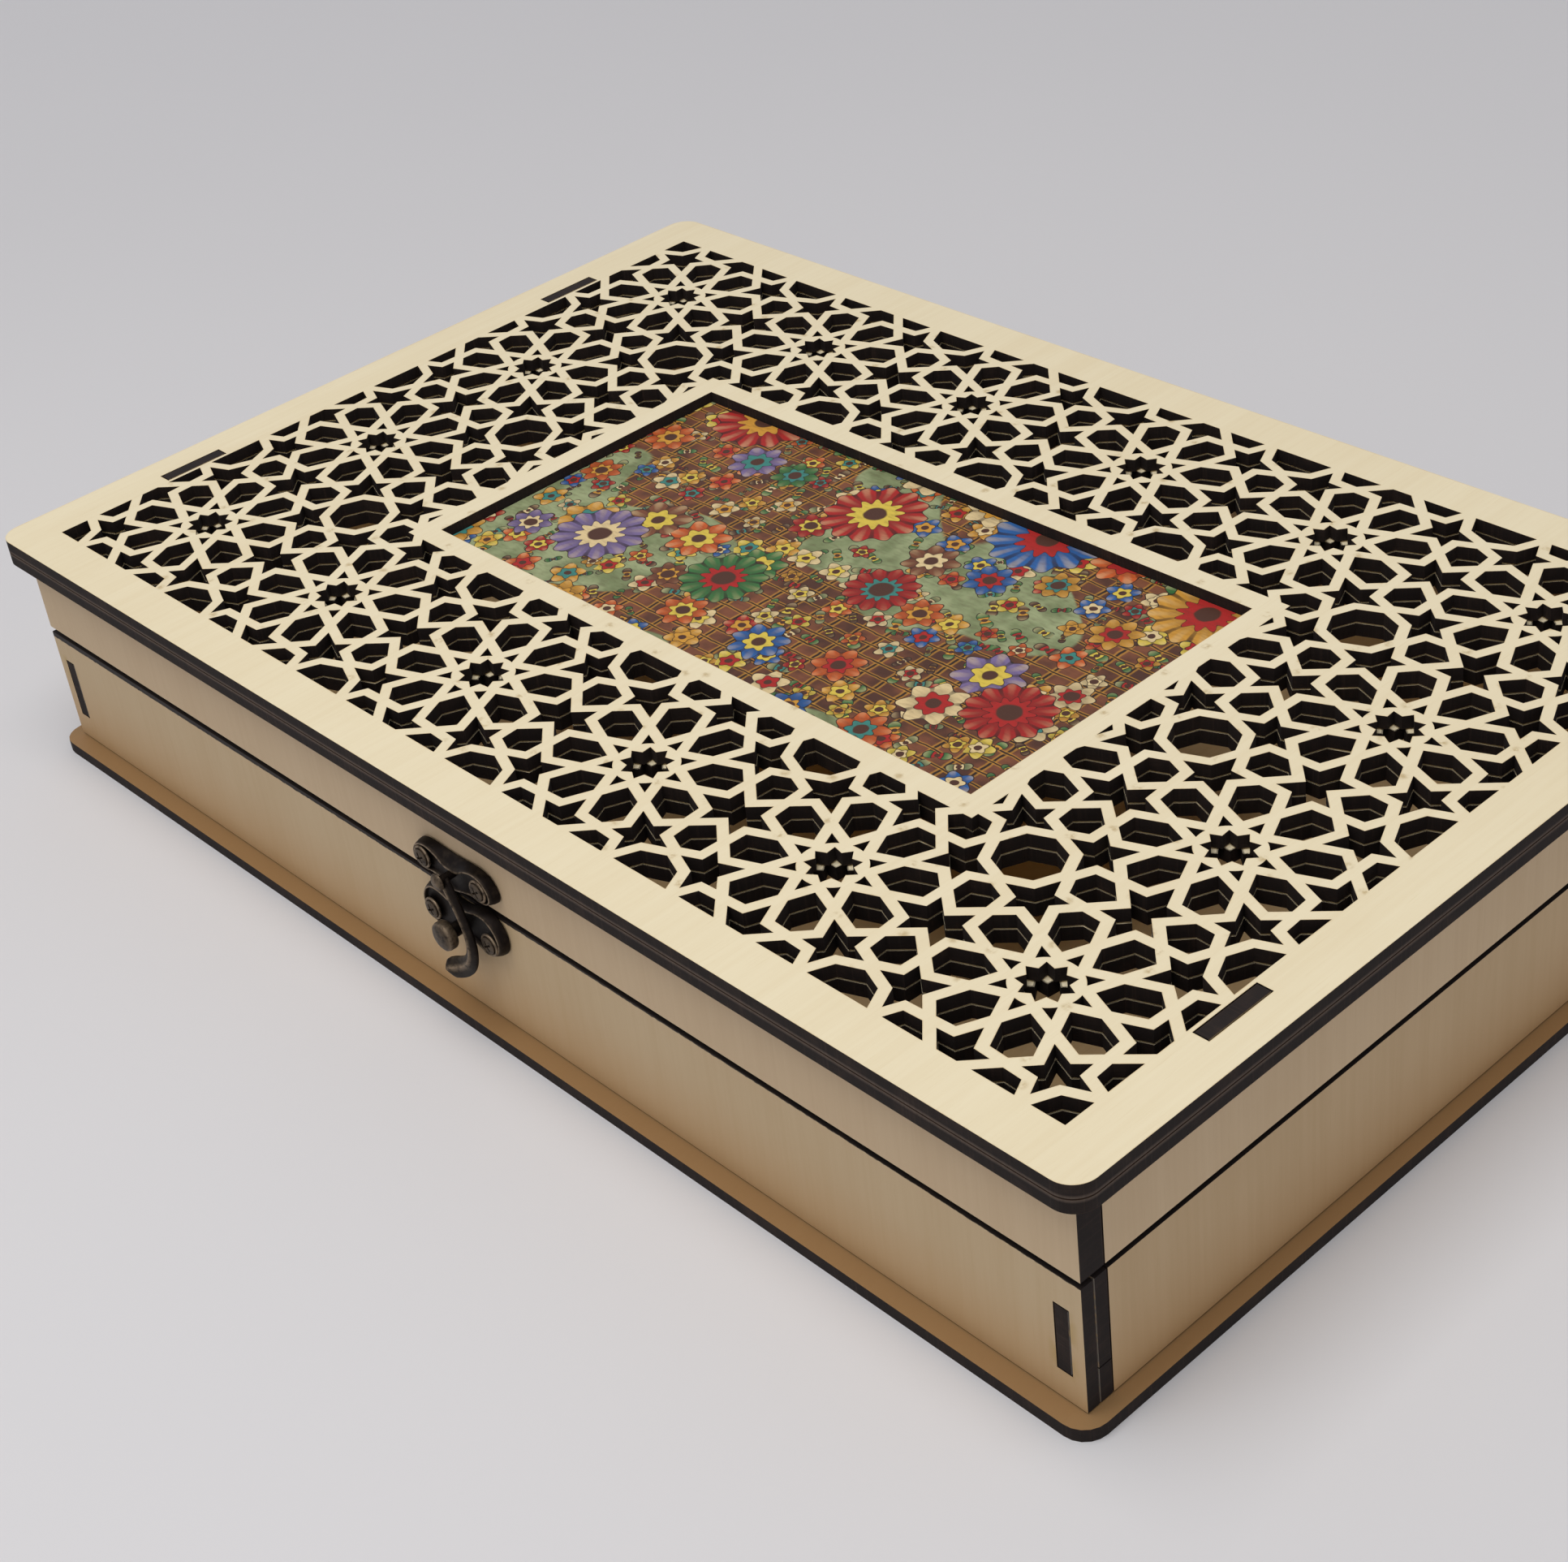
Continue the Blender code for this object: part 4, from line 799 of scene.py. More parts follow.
def bronze_material(name):
    """Dark bronze, pale where the mesh marks rubbed metal and painted highlights."""
    material, graph, shader, position, _ = new_material(name)
    rub_and_highlight = graph.add("ShaderNodeAttribute", attribute_name="rub_and_highlight").outputs["Fac"]
    rub_and_highlight = graph.times(rub_and_highlight, graph.smooth(graph.noise(position, RAGGED_SCALE, 3.0, 0.6), 0.22, 0.6))
    metal = graph.fill(RUBBED_AND_HIGHLIT_BRONZE, {"Position": position, "Rim": rub_and_highlight})
    graph.feed(shader.inputs["Base Color"], metal["Color"])
    graph.feed(shader.inputs["Roughness"], metal["Roughness"])
    bump(graph, shader, metal["Height"], BRONZE_BUMP, BRONZE_BUMP_DEPTH)
    shader.inputs["Metallic"].default_value = BRONZE_METALLIC
    shader.inputs["Specular IOR Level"].default_value = BRONZE_SPECULAR
    return material


# Flat outlines

def rectangle(low_x, high_x, low_y, high_y):
    return [(low_x, low_y), (high_x, low_y), (high_x, high_y), (low_x, high_y)]


def rounded_rectangle(half_x, half_y, radius, steps):
    points = []
    for quarter, (side_x, side_y) in enumerate(((1, 1), (-1, 1), (-1, -1), (1, -1))):
        for step in range(steps + 1):
            angle = math.radians(90) * (quarter + step / steps)
            points.append((
                side_x * (half_x - radius) + radius * math.cos(angle),
                side_y * (half_y - radius) + radius * math.sin(angle),
            ))
    return points


def smooth_loop(points, steps):
    """Closed curve through the points, with a few steps between each two."""
    count = len(points)
    curve = []
    for index in range(count):
        before, start, end, after = (Vector(points[(index + k - 1) % count]) for k in range(4))
        for step in range(steps):
            share = step / steps
            curve.append(tuple(0.5 * (
                2 * start + (end - before) * share
                + (2 * before - 5 * start + 4 * end - after) * share ** 2
                + (3 * start - before - 3 * end + after) * share ** 3
            )))
    return curve


def area_of(points):
    total = 0.0
    for (x0, y0), (x1, y1) in zip(points, points[1:] + points[:1]):
        total += x0 * y1 - x1 * y0
    return total / 2


def line_meeting(point_a, way_a, point_b, way_b):
    """Where the line through point_a along way_a meets the one through point_b."""
    cross = way_a.x * way_b.y - way_a.y * way_b.x
    gap = point_b - point_a
    return point_a + way_a * ((gap.x * way_b.y - gap.y * way_b.x) / cross)


def inset(points, distance):
    """The outline with every side moved inwards by the distance."""
    if area_of(points) < 0:
        points = points[::-1]
    corners = [Vector(point) for point in points]
    moved = []
    earlier, later = corners[-1:] + corners[:-1], corners[1:] + corners[:1]
    for before, corner, after in zip(earlier, corners, later):
        way_in = (corner - before).normalized()
        way_out = (after - corner).normalized()
        start = corner + distance * Vector((-way_in.y, way_in.x))
        end = corner + distance * Vector((-way_out.y, way_out.x))
        if way_in.dot(way_out) > NEARLY_STRAIGHT:
            moved.append(tuple(start))
        else:
            moved.append(tuple(line_meeting(start, way_in, end, way_out)))
    return moved


# Clipping of an opening by a rectangle

class Rectangle:
    """An upright rectangle whose edge is measured from 0 to 4, a side to each 1."""

    def __init__(self, low_x, high_x, low_y, high_y):
        self.low = (low_x, low_y)
        self.high = (high_x, high_y)
        self.corners = rectangle(low_x, high_x, low_y, high_y)

    def holds(self, point):
        return all(self.low[k] < point[k] < self.high[k] for k in range(2))

    def crossings(self, start, end):
        """Shares along the segment where it enters and leaves, or None if it misses."""
        enter, leave = 0.0, 1.0
        for k in range(2):
            step = end[k] - start[k]
            if step == 0.0:
                if not self.low[k] < start[k] < self.high[k]:
                    return None
                continue
            near, far = sorted(((self.low[k] - start[k]) / step, (self.high[k] - start[k]) / step))
            enter = max(enter, near)
            leave = min(leave, far)
        return (enter, leave) if enter < leave else None

    def place(self, point):
        """Where on the edge a point is, from 0 to 4."""
        x_share = (point[0] - self.low[0]) / (self.high[0] - self.low[0])
        y_share = (point[1] - self.low[1]) / (self.high[1] - self.low[1])
        choices = (
            (abs(y_share), x_share), (abs(1 - x_share), 1 + y_share),
            (abs(1 - y_share), 3 - x_share), (abs(x_share), 4 - y_share),
        )
        return min(choices)[1] % 4


def clip(points, limit, keep_inside):
    """The pieces of a closed outline inside the rectangle, or outside it."""
    if area_of(points) < 0:
        points = points[::-1]
    walk = []
    for start, end in zip(points, points[1:] + points[:1]):
        walk.append(start)
        for share in limit.crossings(start, end) or ():
            if 0.0 < share < 1.0:
                walk.append(tuple(start[k] + share * (end[k] - start[k]) for k in range(2)))
    steps = list(zip(walk, walk[1:] + walk[:1]))
    kept = [limit.holds(((a[0] + b[0]) / 2, (a[1] + b[1]) / 2)) == keep_inside for a, b in steps]
    if all(kept):
        return [points]
    if not any(kept):
        return []
    first = kept.index(False)
    chains, chain = [], None
    for (start, end), keep in zip(steps[first:] + steps[:first], kept[first:] + kept[:first]):
        if not keep:
            chain = None
            continue
        if chain is None:
            chain = [start]
            chains.append(chain)
        chain.append(end)
    return link(chains, limit, 1 if keep_inside else -1)


def link(chains, limit, turn):
    """Close the chains into outlines along the edge of the rectangle."""
    starts = [limit.place(chain[0]) for chain in chains]
    left, pieces = set(range(len(chains))), []
    while left:
        first = index = min(left)
        outline = []
        while True:
            left.discard(index)
            outline += chains[index]
            here = limit.place(chains[index][-1])
            ahead = [((start - here) * turn) % 4 for start in starts]
            index = ahead.index(min(ahead))
            for side in range(4):
                corner = (math.floor(here) + (1 + side if turn > 0 else -side)) % 4
                if ((corner - here) * turn) % 4 < ahead[index]:
                    outline.append(limit.corners[corner])
            if index == first:
                break
        pieces.append(outline)
    return pieces


# Star lattice

def polar(radius, degrees):
    return (radius * math.cos(math.radians(degrees)), radius * math.sin(math.radians(degrees)))


def strap_notch():
    """Where two straps meet halfway between a rosette's axis and its diagonal."""
    return polar(CROSSING_SHARE / (2 * math.cos(math.radians(22.5))), 22.5)


def lattice_loops():
    """Strap centre-line loops round the openings of one eighth, in cell shares."""
    crossing = (CROSSING_SHARE, 0.0)
    diagonal = polar(CROSSING_SHARE, 45)
    notch = strap_notch()
    elbow, shoulder, knee = ELBOW_SHARES, SHOULDER_SHARES, KNEE_SHARES
    chevron = (0.5, CHEVRON_SHARE)
    peak = (0.5, HEXAGON_PEAK_SHARE)
    octagon_peak = (0.5, OCTAGON_PEAK_SHARE)
    octagon_corner = (OCTAGON_CORNER_SHARE, OCTAGON_CORNER_SHARE)

    def meeting(*ends):
        """Where the line through the first two points meets the one through the last two."""
        first, second, third, fourth = (Vector(point) for point in ends)
        return tuple(line_meeting(first, second - first, third, fourth - third))

    def across(points):
        """The points mirrored at the cell's right side, in the opposite order."""
        return [(1.0 - x, y) for x, y in points[::-1]]

    tip = meeting(elbow, shoulder, knee, chevron)
    far_tip = meeting(shoulder, peak, octagon_corner, octagon_peak)
    petal = [notch, crossing, elbow, tip, knee, diagonal]
    half_five = [diagonal, knee, tip, shoulder, far_tip, octagon_corner]
    five_star = half_five + [(y, x) for x, y in half_five[4:0:-1]]
    half_six = [crossing, elbow, tip, chevron] + across([crossing, elbow, tip])
    six_star = half_six + [(x, -y) for x, y in half_six[-2:0:-1]]
    hexagon = [chevron, tip, shoulder, peak] + across([tip, shoulder])
    octagon = []
    for turn in range(4):
        for x, y in (octagon_corner, octagon_peak):
            arm = Matrix.Rotation(math.radians(90) * turn, 2) @ Vector((x - 0.5, y - 0.5))
            octagon.append((0.5 + arm.x, 0.5 + arm.y))
    return [petal, five_star, six_star, hexagon, octagon]


def spike_opening(strap_share):
    """The small triangle between two crossing straps and the ring round a rosette's star."""
    crossing, notch = Vector((CROSSING_SHARE, 0.0)), Vector(strap_notch())
    slope = math.atan2(notch.y, crossing.x - notch.x)
    tip = CROSSING_SHARE - strap_share / math.sin(slope)
    ring = RING_SHARE + strap_share - STRAP_WIDTH / (CELL_LENGTH + CELL_WIDTH)
    low, high = 0.0, 45.0
    for _ in range(SPIKE_HALVINGS):
        middle = (low + high) / 2
        x, y = polar(ring, middle)
        if y < (tip - x) * math.tan(slope):
            low = middle
        else:
            high = middle
    return [(tip, 0.0), polar(ring, low), polar(ring, low / 2), polar(ring, 0.0),
            polar(ring, -low / 2), polar(ring, -low)]


def centre_star(notch_share, up):
    """The star that is cut through the middle of a rosette, with one tip along the lid's width."""
    points = []
    for step in range(2 * STAR_POINTS):
        radius = notch_share if step % 2 else STAR_TIP_SHARE
        points.append(polar(radius, up * 90 + step * 180 / STAR_POINTS))
    return points


def images(points):
    """The outline and its mirror images in a rosette's two axes and diagonals."""
    for x_side in (1, -1):
        for y_side in (1, -1):
            yield [(x_side * x, y_side * y) for x, y in points]
            yield [(x_side * y, y_side * x) for x, y in points]


def repeated(shapes, star):
    """Every shape round every rosette of the lid, each place once."""
    copies, centres = [], []
    for i in range(CELLS_LONG):
        for j in range(CELLS_WIDE):
            copies.append([(i + x, j + y) for x, y in star])
            for shape in shapes:
                for image in images(shape):
                    copy = [Vector((i + x, j + y)) for x, y in image]
                    centre = sum(copy, Vector((0.0, 0.0))) / len(copy)
                    if all((centre - other).length > SAME_PLACE_SHARE for other in centres):
                        centres.append(centre)
                        copies.append([tuple(point) for point in copy])
    return copies


def lattice_openings(ledge, notch_share, up):
    """All openings of a panel in metres; ledge makes them smaller all round."""
    strap_share = (STRAP_WIDTH + 2 * ledge) / (CELL_LENGTH + CELL_WIDTH)
    shapes = [inset(loop, strap_share) for loop in lattice_loops()]
    spike, turn = spike_opening(strap_share), Matrix.Rotation(math.radians(45), 2)
    shapes += [spike, [tuple(turn @ Vector(point)) for point in spike]]
    low, high_i, high_j = EDGE_NUDGE_SHARE - 0.5, CELLS_LONG - 0.5, CELLS_WIDE - 0.5
    border = Rectangle(low, high_i - EDGE_NUDGE_SHARE, low, high_j - EDGE_NUDGE_SHARE)
    middle_i, middle_j = (CELLS_LONG - 1) / 2, (CELLS_WIDE - 1) / 2
    reach_i = (WINDOW_LENGTH / 2 + WINDOW_FRAME) / CELL_LENGTH
    reach_j = (WINDOW_WIDTH / 2 + WINDOW_FRAME) / CELL_WIDTH
    window = Rectangle(middle_i - reach_i, middle_i + reach_i,
                       middle_j - reach_j, middle_j + reach_j)
    openings = []
    for outline in repeated(shapes, centre_star(notch_share, up)):
        for inner in clip(outline, border, True):
            for piece in clip(inner, window, False):
                if abs(area_of(piece)) > SMALLEST_OPENING_SHARE:
                    openings.append([((x - middle_i) * CELL_LENGTH, (y - middle_j) * CELL_WIDTH)
                                     for x, y in piece])
    return openings


# Pieces

def cut_sheet_group():
    """Turns closed outlines into a solid sheet: fill them, raise the copy and close the sides."""
    tree, graph, given, result = new_group("Cut sheet", "GeometryNodeTree", {
        "Outlines": ("geometry", None), "Level": ("number", 0.0),
        "Thickness": ("number", PLY_THICKNESS), "Material": ("material", None),
    }, {"Sheet": "geometry"})
    curves = graph.add("GeometryNodeMeshToCurve", {"Mesh": given["Outlines"]}).outputs["Curve"]
    filled = graph.add("GeometryNodeFillCurve", {"Curve": curves}).outputs["Mesh"]
    placed = graph.moved(filled, graph.upwards(given["Level"]))
    raised = graph.add("GeometryNodeExtrudeMesh", {
        "Mesh": placed, "Offset": Z_AXIS, "Offset Scale": given["Thickness"], "Individual": False})
    under = graph.add("GeometryNodeFlipFaces", {"Mesh": placed}).outputs["Mesh"]
    closed = graph.joined((raised.outputs["Mesh"], under))
    welded = graph.add("GeometryNodeMergeByDistance", {"Geometry": closed, "Distance": SHEET_WELD})
    sheet = graph.finished(welded.outputs["Geometry"], given["Material"])
    graph.feed(result["Sheet"], sheet)
    return tree


def screw_group():
    """A cross-head screw in its cup on every point, turned to the point's outwards direction."""
    tree, graph, given, result = new_group("Cross-head screws", "GeometryNodeTree", {
        "Points": ("geometry", None), "Head Radius": ("number", HEAD_RADIUS),
        "Head Height": ("number", HEAD_HEIGHT), "Crown Height": ("number", CROWN_HEIGHT),
        "Slot Width": ("number", SLOT_WIDTH), "Slot Depth": ("number", SLOT_DEPTH),
        "Shank Radius": ("number", SHANK_RADIUS), "Shank Length": ("number", SHANK_LENGTH),
        "Seed": ("whole", SCREW_SEED), "Material": ("material", None),
    }, {"Screws": "geometry"})
    disc = graph.add("GeometryNodeMeshCylinder", {
        "Vertices": HEAD_SIDES, "Side Segments": 1, "Fill Segments": 5,
        "Radius": given["Head Radius"], "Depth": given["Head Height"]}).outputs["Mesh"]
    place = graph.split(graph.add("GeometryNodeInputPosition").outputs["Position"])
    share = graph.math("DIVIDE", graph.radius(place), given["Head Radius"])
    crown = graph.minus(1.0, graph.times(share, share))
    rise = graph.upwards(graph.times(crown, given["Crown Height"]))
    upper = graph.math("GREATER_THAN", place["Z"], 0.0)
    domed = graph.add("GeometryNodeSetPosition", {
        "Geometry": disc, "Selection": upper, "Offset": rise})
    slot_length = graph.times(given["Head Radius"], SLOT_LENGTH_SHARE)
    slot_height = graph.times(given["Slot Depth"], 2.0)
    top = graph.upwards(graph.times_plus(given["Head Height"], 0.5, given["Crown Height"]))
    cut = domed.outputs["Geometry"]
    for long_way in (0, 1):
        sides = [slot_length, given["Slot Width"]]
        size = graph.add("ShaderNodeCombineXYZ", {
            "X": sides[long_way], "Y": sides[1 - long_way], "Z": slot_height}).outputs["Vector"]
        bar = graph.moved(graph.add("GeometryNodeMeshCube", {"Size": size}).outputs["Mesh"], top)
        cut = graph.add("GeometryNodeMeshBoolean", {"Mesh 1": cut, "Mesh 2": bar},
                        operation="DIFFERENCE").outputs["Mesh"]
    half_down = graph.times(given["Head Height"], 0.5)
    head = graph.moved(cut, graph.upwards(half_down))
    shank = graph.add("GeometryNodeMeshCylinder", {
        "Vertices": SHANK_SIDES, "Radius": given["Shank Radius"],
        "Depth": given["Shank Length"]}).outputs["Mesh"]
    shank_down = graph.times_plus(given["Shank Length"], -0.5, half_down)
    shank = graph.moved(shank, graph.upwards(shank_down))
    cup_radius = graph.math("ADD", given["Head Radius"], CUP_GAP)
    circles = [graph.add("GeometryNodeCurvePrimitiveCircle", {
        "Resolution": sides, "Radius": radius}).outputs["Curve"]
        for sides, radius in ((CUP_SIDES, cup_radius), (CUP_SECTION_SIDES, CUP_THICKNESS))]
    cup = graph.add("GeometryNodeCurveToMesh", {"Curve": circles[0], "Profile Curve": circles[1]})
    rubbed = [graph.add("GeometryNodeStoreNamedAttribute", {
        "Geometry": mesh, "Name": "rub_and_highlight", "Value": bare_and_lit}).outputs["Geometry"]
        for mesh, bare_and_lit in ((head, HEAD_RUB), (shank, 0.0), (cup.outputs["Mesh"], CUP_RUB))]
    screw = graph.joined(rubbed)
    outwards = graph.add("GeometryNodeInputNamedAttribute", {"Name": "outwards"},
                         data_type="FLOAT_VECTOR").outputs["Attribute"]
    facing = graph.add("FunctionNodeAlignRotationToVector", {"Vector": outwards}, axis="Z")
    spin = graph.add("FunctionNodeRandomValue", {"Max": LARGEST_TURN, "Seed": given["Seed"]},
                     data_type="FLOAT").outputs[1]
    turn = graph.add("FunctionNodeAxisAngleToRotation", {"Axis": Z_AXIS, "Angle": spin})
    turned = graph.add("FunctionNodeRotateRotation", {
        "Rotation": facing.outputs["Rotation"], "Rotate By": turn.outputs["Rotation"]},
        rotation_space="LOCAL")
    placed = graph.add("GeometryNodeInstanceOnPoints", {
        "Points": given["Points"], "Instance": screw, "Rotation": turned.outputs["Rotation"]})
    screws = graph.finished(placed.outputs["Instances"], given["Material"])
    graph.feed(result["Screws"], screws)
    return tree


def put(name, data):
    """A new object in the scene."""
    item = bpy.data.objects.new(name, data)
    bpy.context.scene.collection.objects.link(item)
    return item


def grown(name, start_mesh, tree, material, **values):
    """The plain mesh that a node tree makes from start_mesh, with the tree's inputs set first."""
    seed = put(name + "_start", start_mesh)
    modifier = seed.modifiers.new("Build", "NODES")
    modifier.node_group = tree
    inputs = [item for item in tree.interface.items_tree if item.in_out == "INPUT"]
    sockets = {item.name: item.identifier for item in inputs}
    modifier[sockets["Material"]] = material
    for label, value in values.items():
        modifier[sockets[label.replace("_", " ")]] = value
    evaluated = seed.evaluated_get(bpy.context.evaluated_depsgraph_get())
    mesh = bpy.data.meshes.new_from_object(evaluated)
    bpy.data.objects.remove(seed, do_unlink=True)
    mesh.name = name
    if not mesh.materials:
        mesh.materials.append(material)
    return put(name, mesh)


def mesh_piece(name, bm, material, smooth_angle=None):
    bmesh.ops.recalc_face_normals(bm, faces=bm.faces[:])
    mesh = bpy.data.meshes.new(name)
    bm.to_mesh(mesh)
    bm.free()
    mesh.materials.append(material)
    item = put(name, mesh)
    if smooth_angle is not None:
        mesh.shade_smooth()
        mesh.set_sharp_from_angle(angle=math.radians(smooth_angle))
    return item


def stand_for(piece, body, slot, *nodes):
    """The piece rides on the body and is shown in place of the nodes."""
    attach(piece, body)
    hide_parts(*nodes)


def lattice_panel(node, name, window, ledge, notch_share, up):
    """One panel of the lid with all its openings, in the place and thickness of its node."""
    low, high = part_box(node)
    inner, outer = (corner.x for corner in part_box("lid_right_wall"))
    middle_x = (inner + outer) / 2
    half_x = (outer - inner) / 2 + FIT
    half_y = TAB_LENGTH / 2 + FIT
    loops = [rounded_rectangle(high.x, high.y, CORNER_RADIUS, CORNER_STEPS)]
    for side in (-1, 1):
        for end in (-1, 1):
            loops.append(rectangle(side * middle_x - half_x, side * middle_x + half_x,
                                   end * TAB_OFFSET - half_y, end * TAB_OFFSET + half_y))
    if window:
        loops.append(rectangle(
            -WINDOW_LENGTH / 2, WINDOW_LENGTH / 2, -WINDOW_WIDTH / 2, WINDOW_WIDTH / 2))
    loops += lattice_openings(ledge, notch_share, up)
    points, edges = [], []
    for loop in loops:
        first = len(points)
        points += [(x, y, 0.0) for x, y in loop]
        edges += [(first + k, first + (k + 1) % len(loop)) for k in range(len(loop))]
    outlines = bpy.data.meshes.new(name + "_outlines")
    outlines.from_pydata(points, edges, [])
    upper_marks = [(SCORCH, amber_rim), (SOOT, soot_dots)]
    # The lower panel's marks are smoke and painted shade under the upper panel
    lower_marks = [(CHAR_AND_SHADOW, smoke_and_shade_rim), (ASH_AND_SHADE, smoke_and_shade_border)]
    material = plywood(name + "_plywood", Z_AXIS, Y_AXIS, low.z, high.z, VENEER, LID_CONTRAST,
                       upper_marks if window else lower_marks, panel_join)
    panel = grown(name, outlines, CUT_SHEET, material, Level=low.z, Thickness=high.z - low.z)
    stand_for(panel, "lid", "plywood", node)


def screw_set(name, body, nodes, material):
    """All screws of one body, at the places of their nodes."""
    points, ways = [], []
    for node in nodes:
        low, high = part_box(node)
        side = -1.0 if low.y < 0 else 1.0
        face = low.y if side < 0 else high.y
        seat = face - side * (HEAD_HEIGHT + CROWN_HEIGHT)
        points.append(((low.x + high.x) / 2, seat, (low.z + high.z) / 2))
        ways.append((0.0, side, 0.0))
    start = bpy.data.meshes.new(name + "_points")
    start.from_pydata(points, [], [])
    outwards = start.attributes.new("outwards", "FLOAT_VECTOR", "POINT")
    for value, way in zip(outwards.data, ways):
        value.vector = way
    head_radius = (high.x - low.x) / 2
    screws = grown(name, start, SCREWS, material, Head_Radius=head_radius)
    stand_for(screws, body, "dark_screws", *nodes)


def facing_front(depth, bm):
    """Stand a drawing in XY up in XZ with its height towards the front, its back at depth."""
    place = Matrix.Translation((0.0, depth, 0.0)) @ Matrix.Rotation(math.radians(90), 4, "X")
    bmesh.ops.transform(bm, matrix=place, verts=bm.verts[:])


def lofted(rings):
    """A closed solid through rings of equal length. Each point has its paleness last, for rubbed
    metal and painted highlights.
    """
    bm = bmesh.new()
    rub_and_highlight = bm.verts.layers.float.new("rub_and_highlight")
    loops = []
    for ring in rings:
        loop = []
        for *place, bare_and_lit in ring:
            vert = bm.verts.new(place)
            vert[rub_and_highlight] = bare_and_lit
            loop.append(vert)
        loops.append(loop)
    count = len(loops[0])
    for low, high in zip(loops, loops[1:]):
        for step in range(count):
            after = (step + 1) % count
            bm.faces.new((low[step], low[after], high[after], high[step]))
    for loop in (loops[0], loops[-1]):
        edges = [bm.edges.get((a, b)) for a, b in zip(loop, loop[1:] + loop[:1])]
        bmesh.ops.triangle_fill(bm, edges=edges, use_beauty=True, use_dissolve=False)
    return bm


def latch_plate(name, body, node, back_shares, face_shares, height, material):
    """A cast plate with a rounded rim that stands above its dished face."""
    low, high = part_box(node)
    centre_x = (low.x + high.x) / 2
    loops = []
    for shares in (back_shares, face_shares):
        half = [(x * WING_REACH, low.z + z * height) for x, z in shares]
        loop = smooth_loop(half + [(-x, z) for x, z in half[-2:0:-1]], PLATE_CURVE_STEPS)
        loops.append([Vector((centre_x + x, z)) for x, z in loop])
    thickness = high.y - low.y
    rings = []
    for way, inwards, rise, bare_and_lit in PLATE_EDGE_SHARES:
        outline = [tuple(back.lerp(face, way)) for back, face in zip(*loops)]
        ring = inset(outline, inwards * thickness)
        rings.append([(x, y, rise * thickness, bare_and_lit) for x, y in ring])
    bm = lofted(rings)
    facing_front(high.y, bm)
    plate = mesh_piece(name, bm, material, CAST_ANGLE)
    stand_for(plate, body, BRONZE_SLOT, node)


def smooth_path(points, steps):
    """Open curve through the points, with a few steps between each two."""
    ends = [points[0] * 2 - points[1]] + points + [points[-1] * 2 - points[-2]]
    closed = smooth_loop(ends, steps)
    return [Vector(point) for point in closed[steps:len(points) * steps + 1]]


def hook_piece(material):
    """The hook: a crowned, tapering arm from the eye to a broad finger that curls outwards."""
    low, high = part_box("latch_hook")
    pivot = next(Vector(joint["pos_m"]) for joint in frame["joints"] if joint["child"] == "hook")
    thickness = high.y - low.y
    path = smooth_path([Vector(point) for point in HOOK_PATH_SHARES], HOOK_CURVE_STEPS)
    rings = []
    for index, here in enumerate(path):
        before = path[max(index - 1, 0)]
        after = path[min(index + 1, len(path) - 1)]
        way = (after - before).to_2d().normalized()
        side = Vector((-way.y, way.x))
        share = index / (len(path) - 1)
        taper = min(1.0, TIP_TAPER[0] + TIP_TAPER[1] * (1.0 - share))
        curl = FINGER_CURL * max(0.0, (share - FINGER_START) / FINGER_LENGTH) ** 2
        middle = here.to_2d() * HOOK_LENGTH
        ring = []
        for across, rise, bare_and_lit in HOOK_SECTION_SHARES:
            leaning = across + HOOK_RIDGE_SHIFT * (rise > RIDGE_RISE)
            spot = middle + side * leaning * here.z * HOOK_WIDTH / 2 * taper
            ring.append((spot.x + pivot.x, spot.y + pivot.z, rise * thickness + curl, bare_and_lit))
        rings.append(ring)
    bm = lofted(rings)
    eye_bm = lofted(round_rings(HOOK_EYE_RADIUS, thickness, EYE_RINGS, EYE_SIDES, pivot))
    eye_mesh = bpy.data.meshes.new("eye")
    eye_bm.to_mesh(eye_mesh)
    eye_bm.free()
    bm.from_mesh(eye_mesh)
    bpy.data.meshes.remove(eye_mesh)
    facing_front(high.y, bm)
    hook = mesh_piece("hook", bm, material, CAST_ANGLE)
    stand_for(hook, "hook", BRONZE_SLOT, "latch_hook")


def round_rings(radius, length, shares, steps, centre):
    """Rings of a turned piece round centre; shares are of its radius and length, and its paleness.
    """
    rings = []
    for across, along, bare_and_lit in shares:
        ring = []
        for step in range(steps):
            angle = 2 * math.pi * step / steps
            x = centre.x + radius * across * math.cos(angle)
            ring.append((x, centre.z + radius * across * math.sin(angle), along * length, bare_and_lit))
        rings.append(ring)
    return rings


def turned_piece(name, body, node, shares, steps, material):
    """A turned piece along Y in its node's box."""
    low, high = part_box(node)
    rings = round_rings((high.x - low.x) / 2, high.y - low.y, shares, steps, (low + high) / 2)
    bm = lofted(rings)
    facing_front(high.y, bm)
    piece = mesh_piece(name, bm, material, TURNED_ANGLE)
    stand_for(piece, body, BRONZE_SLOT, node)


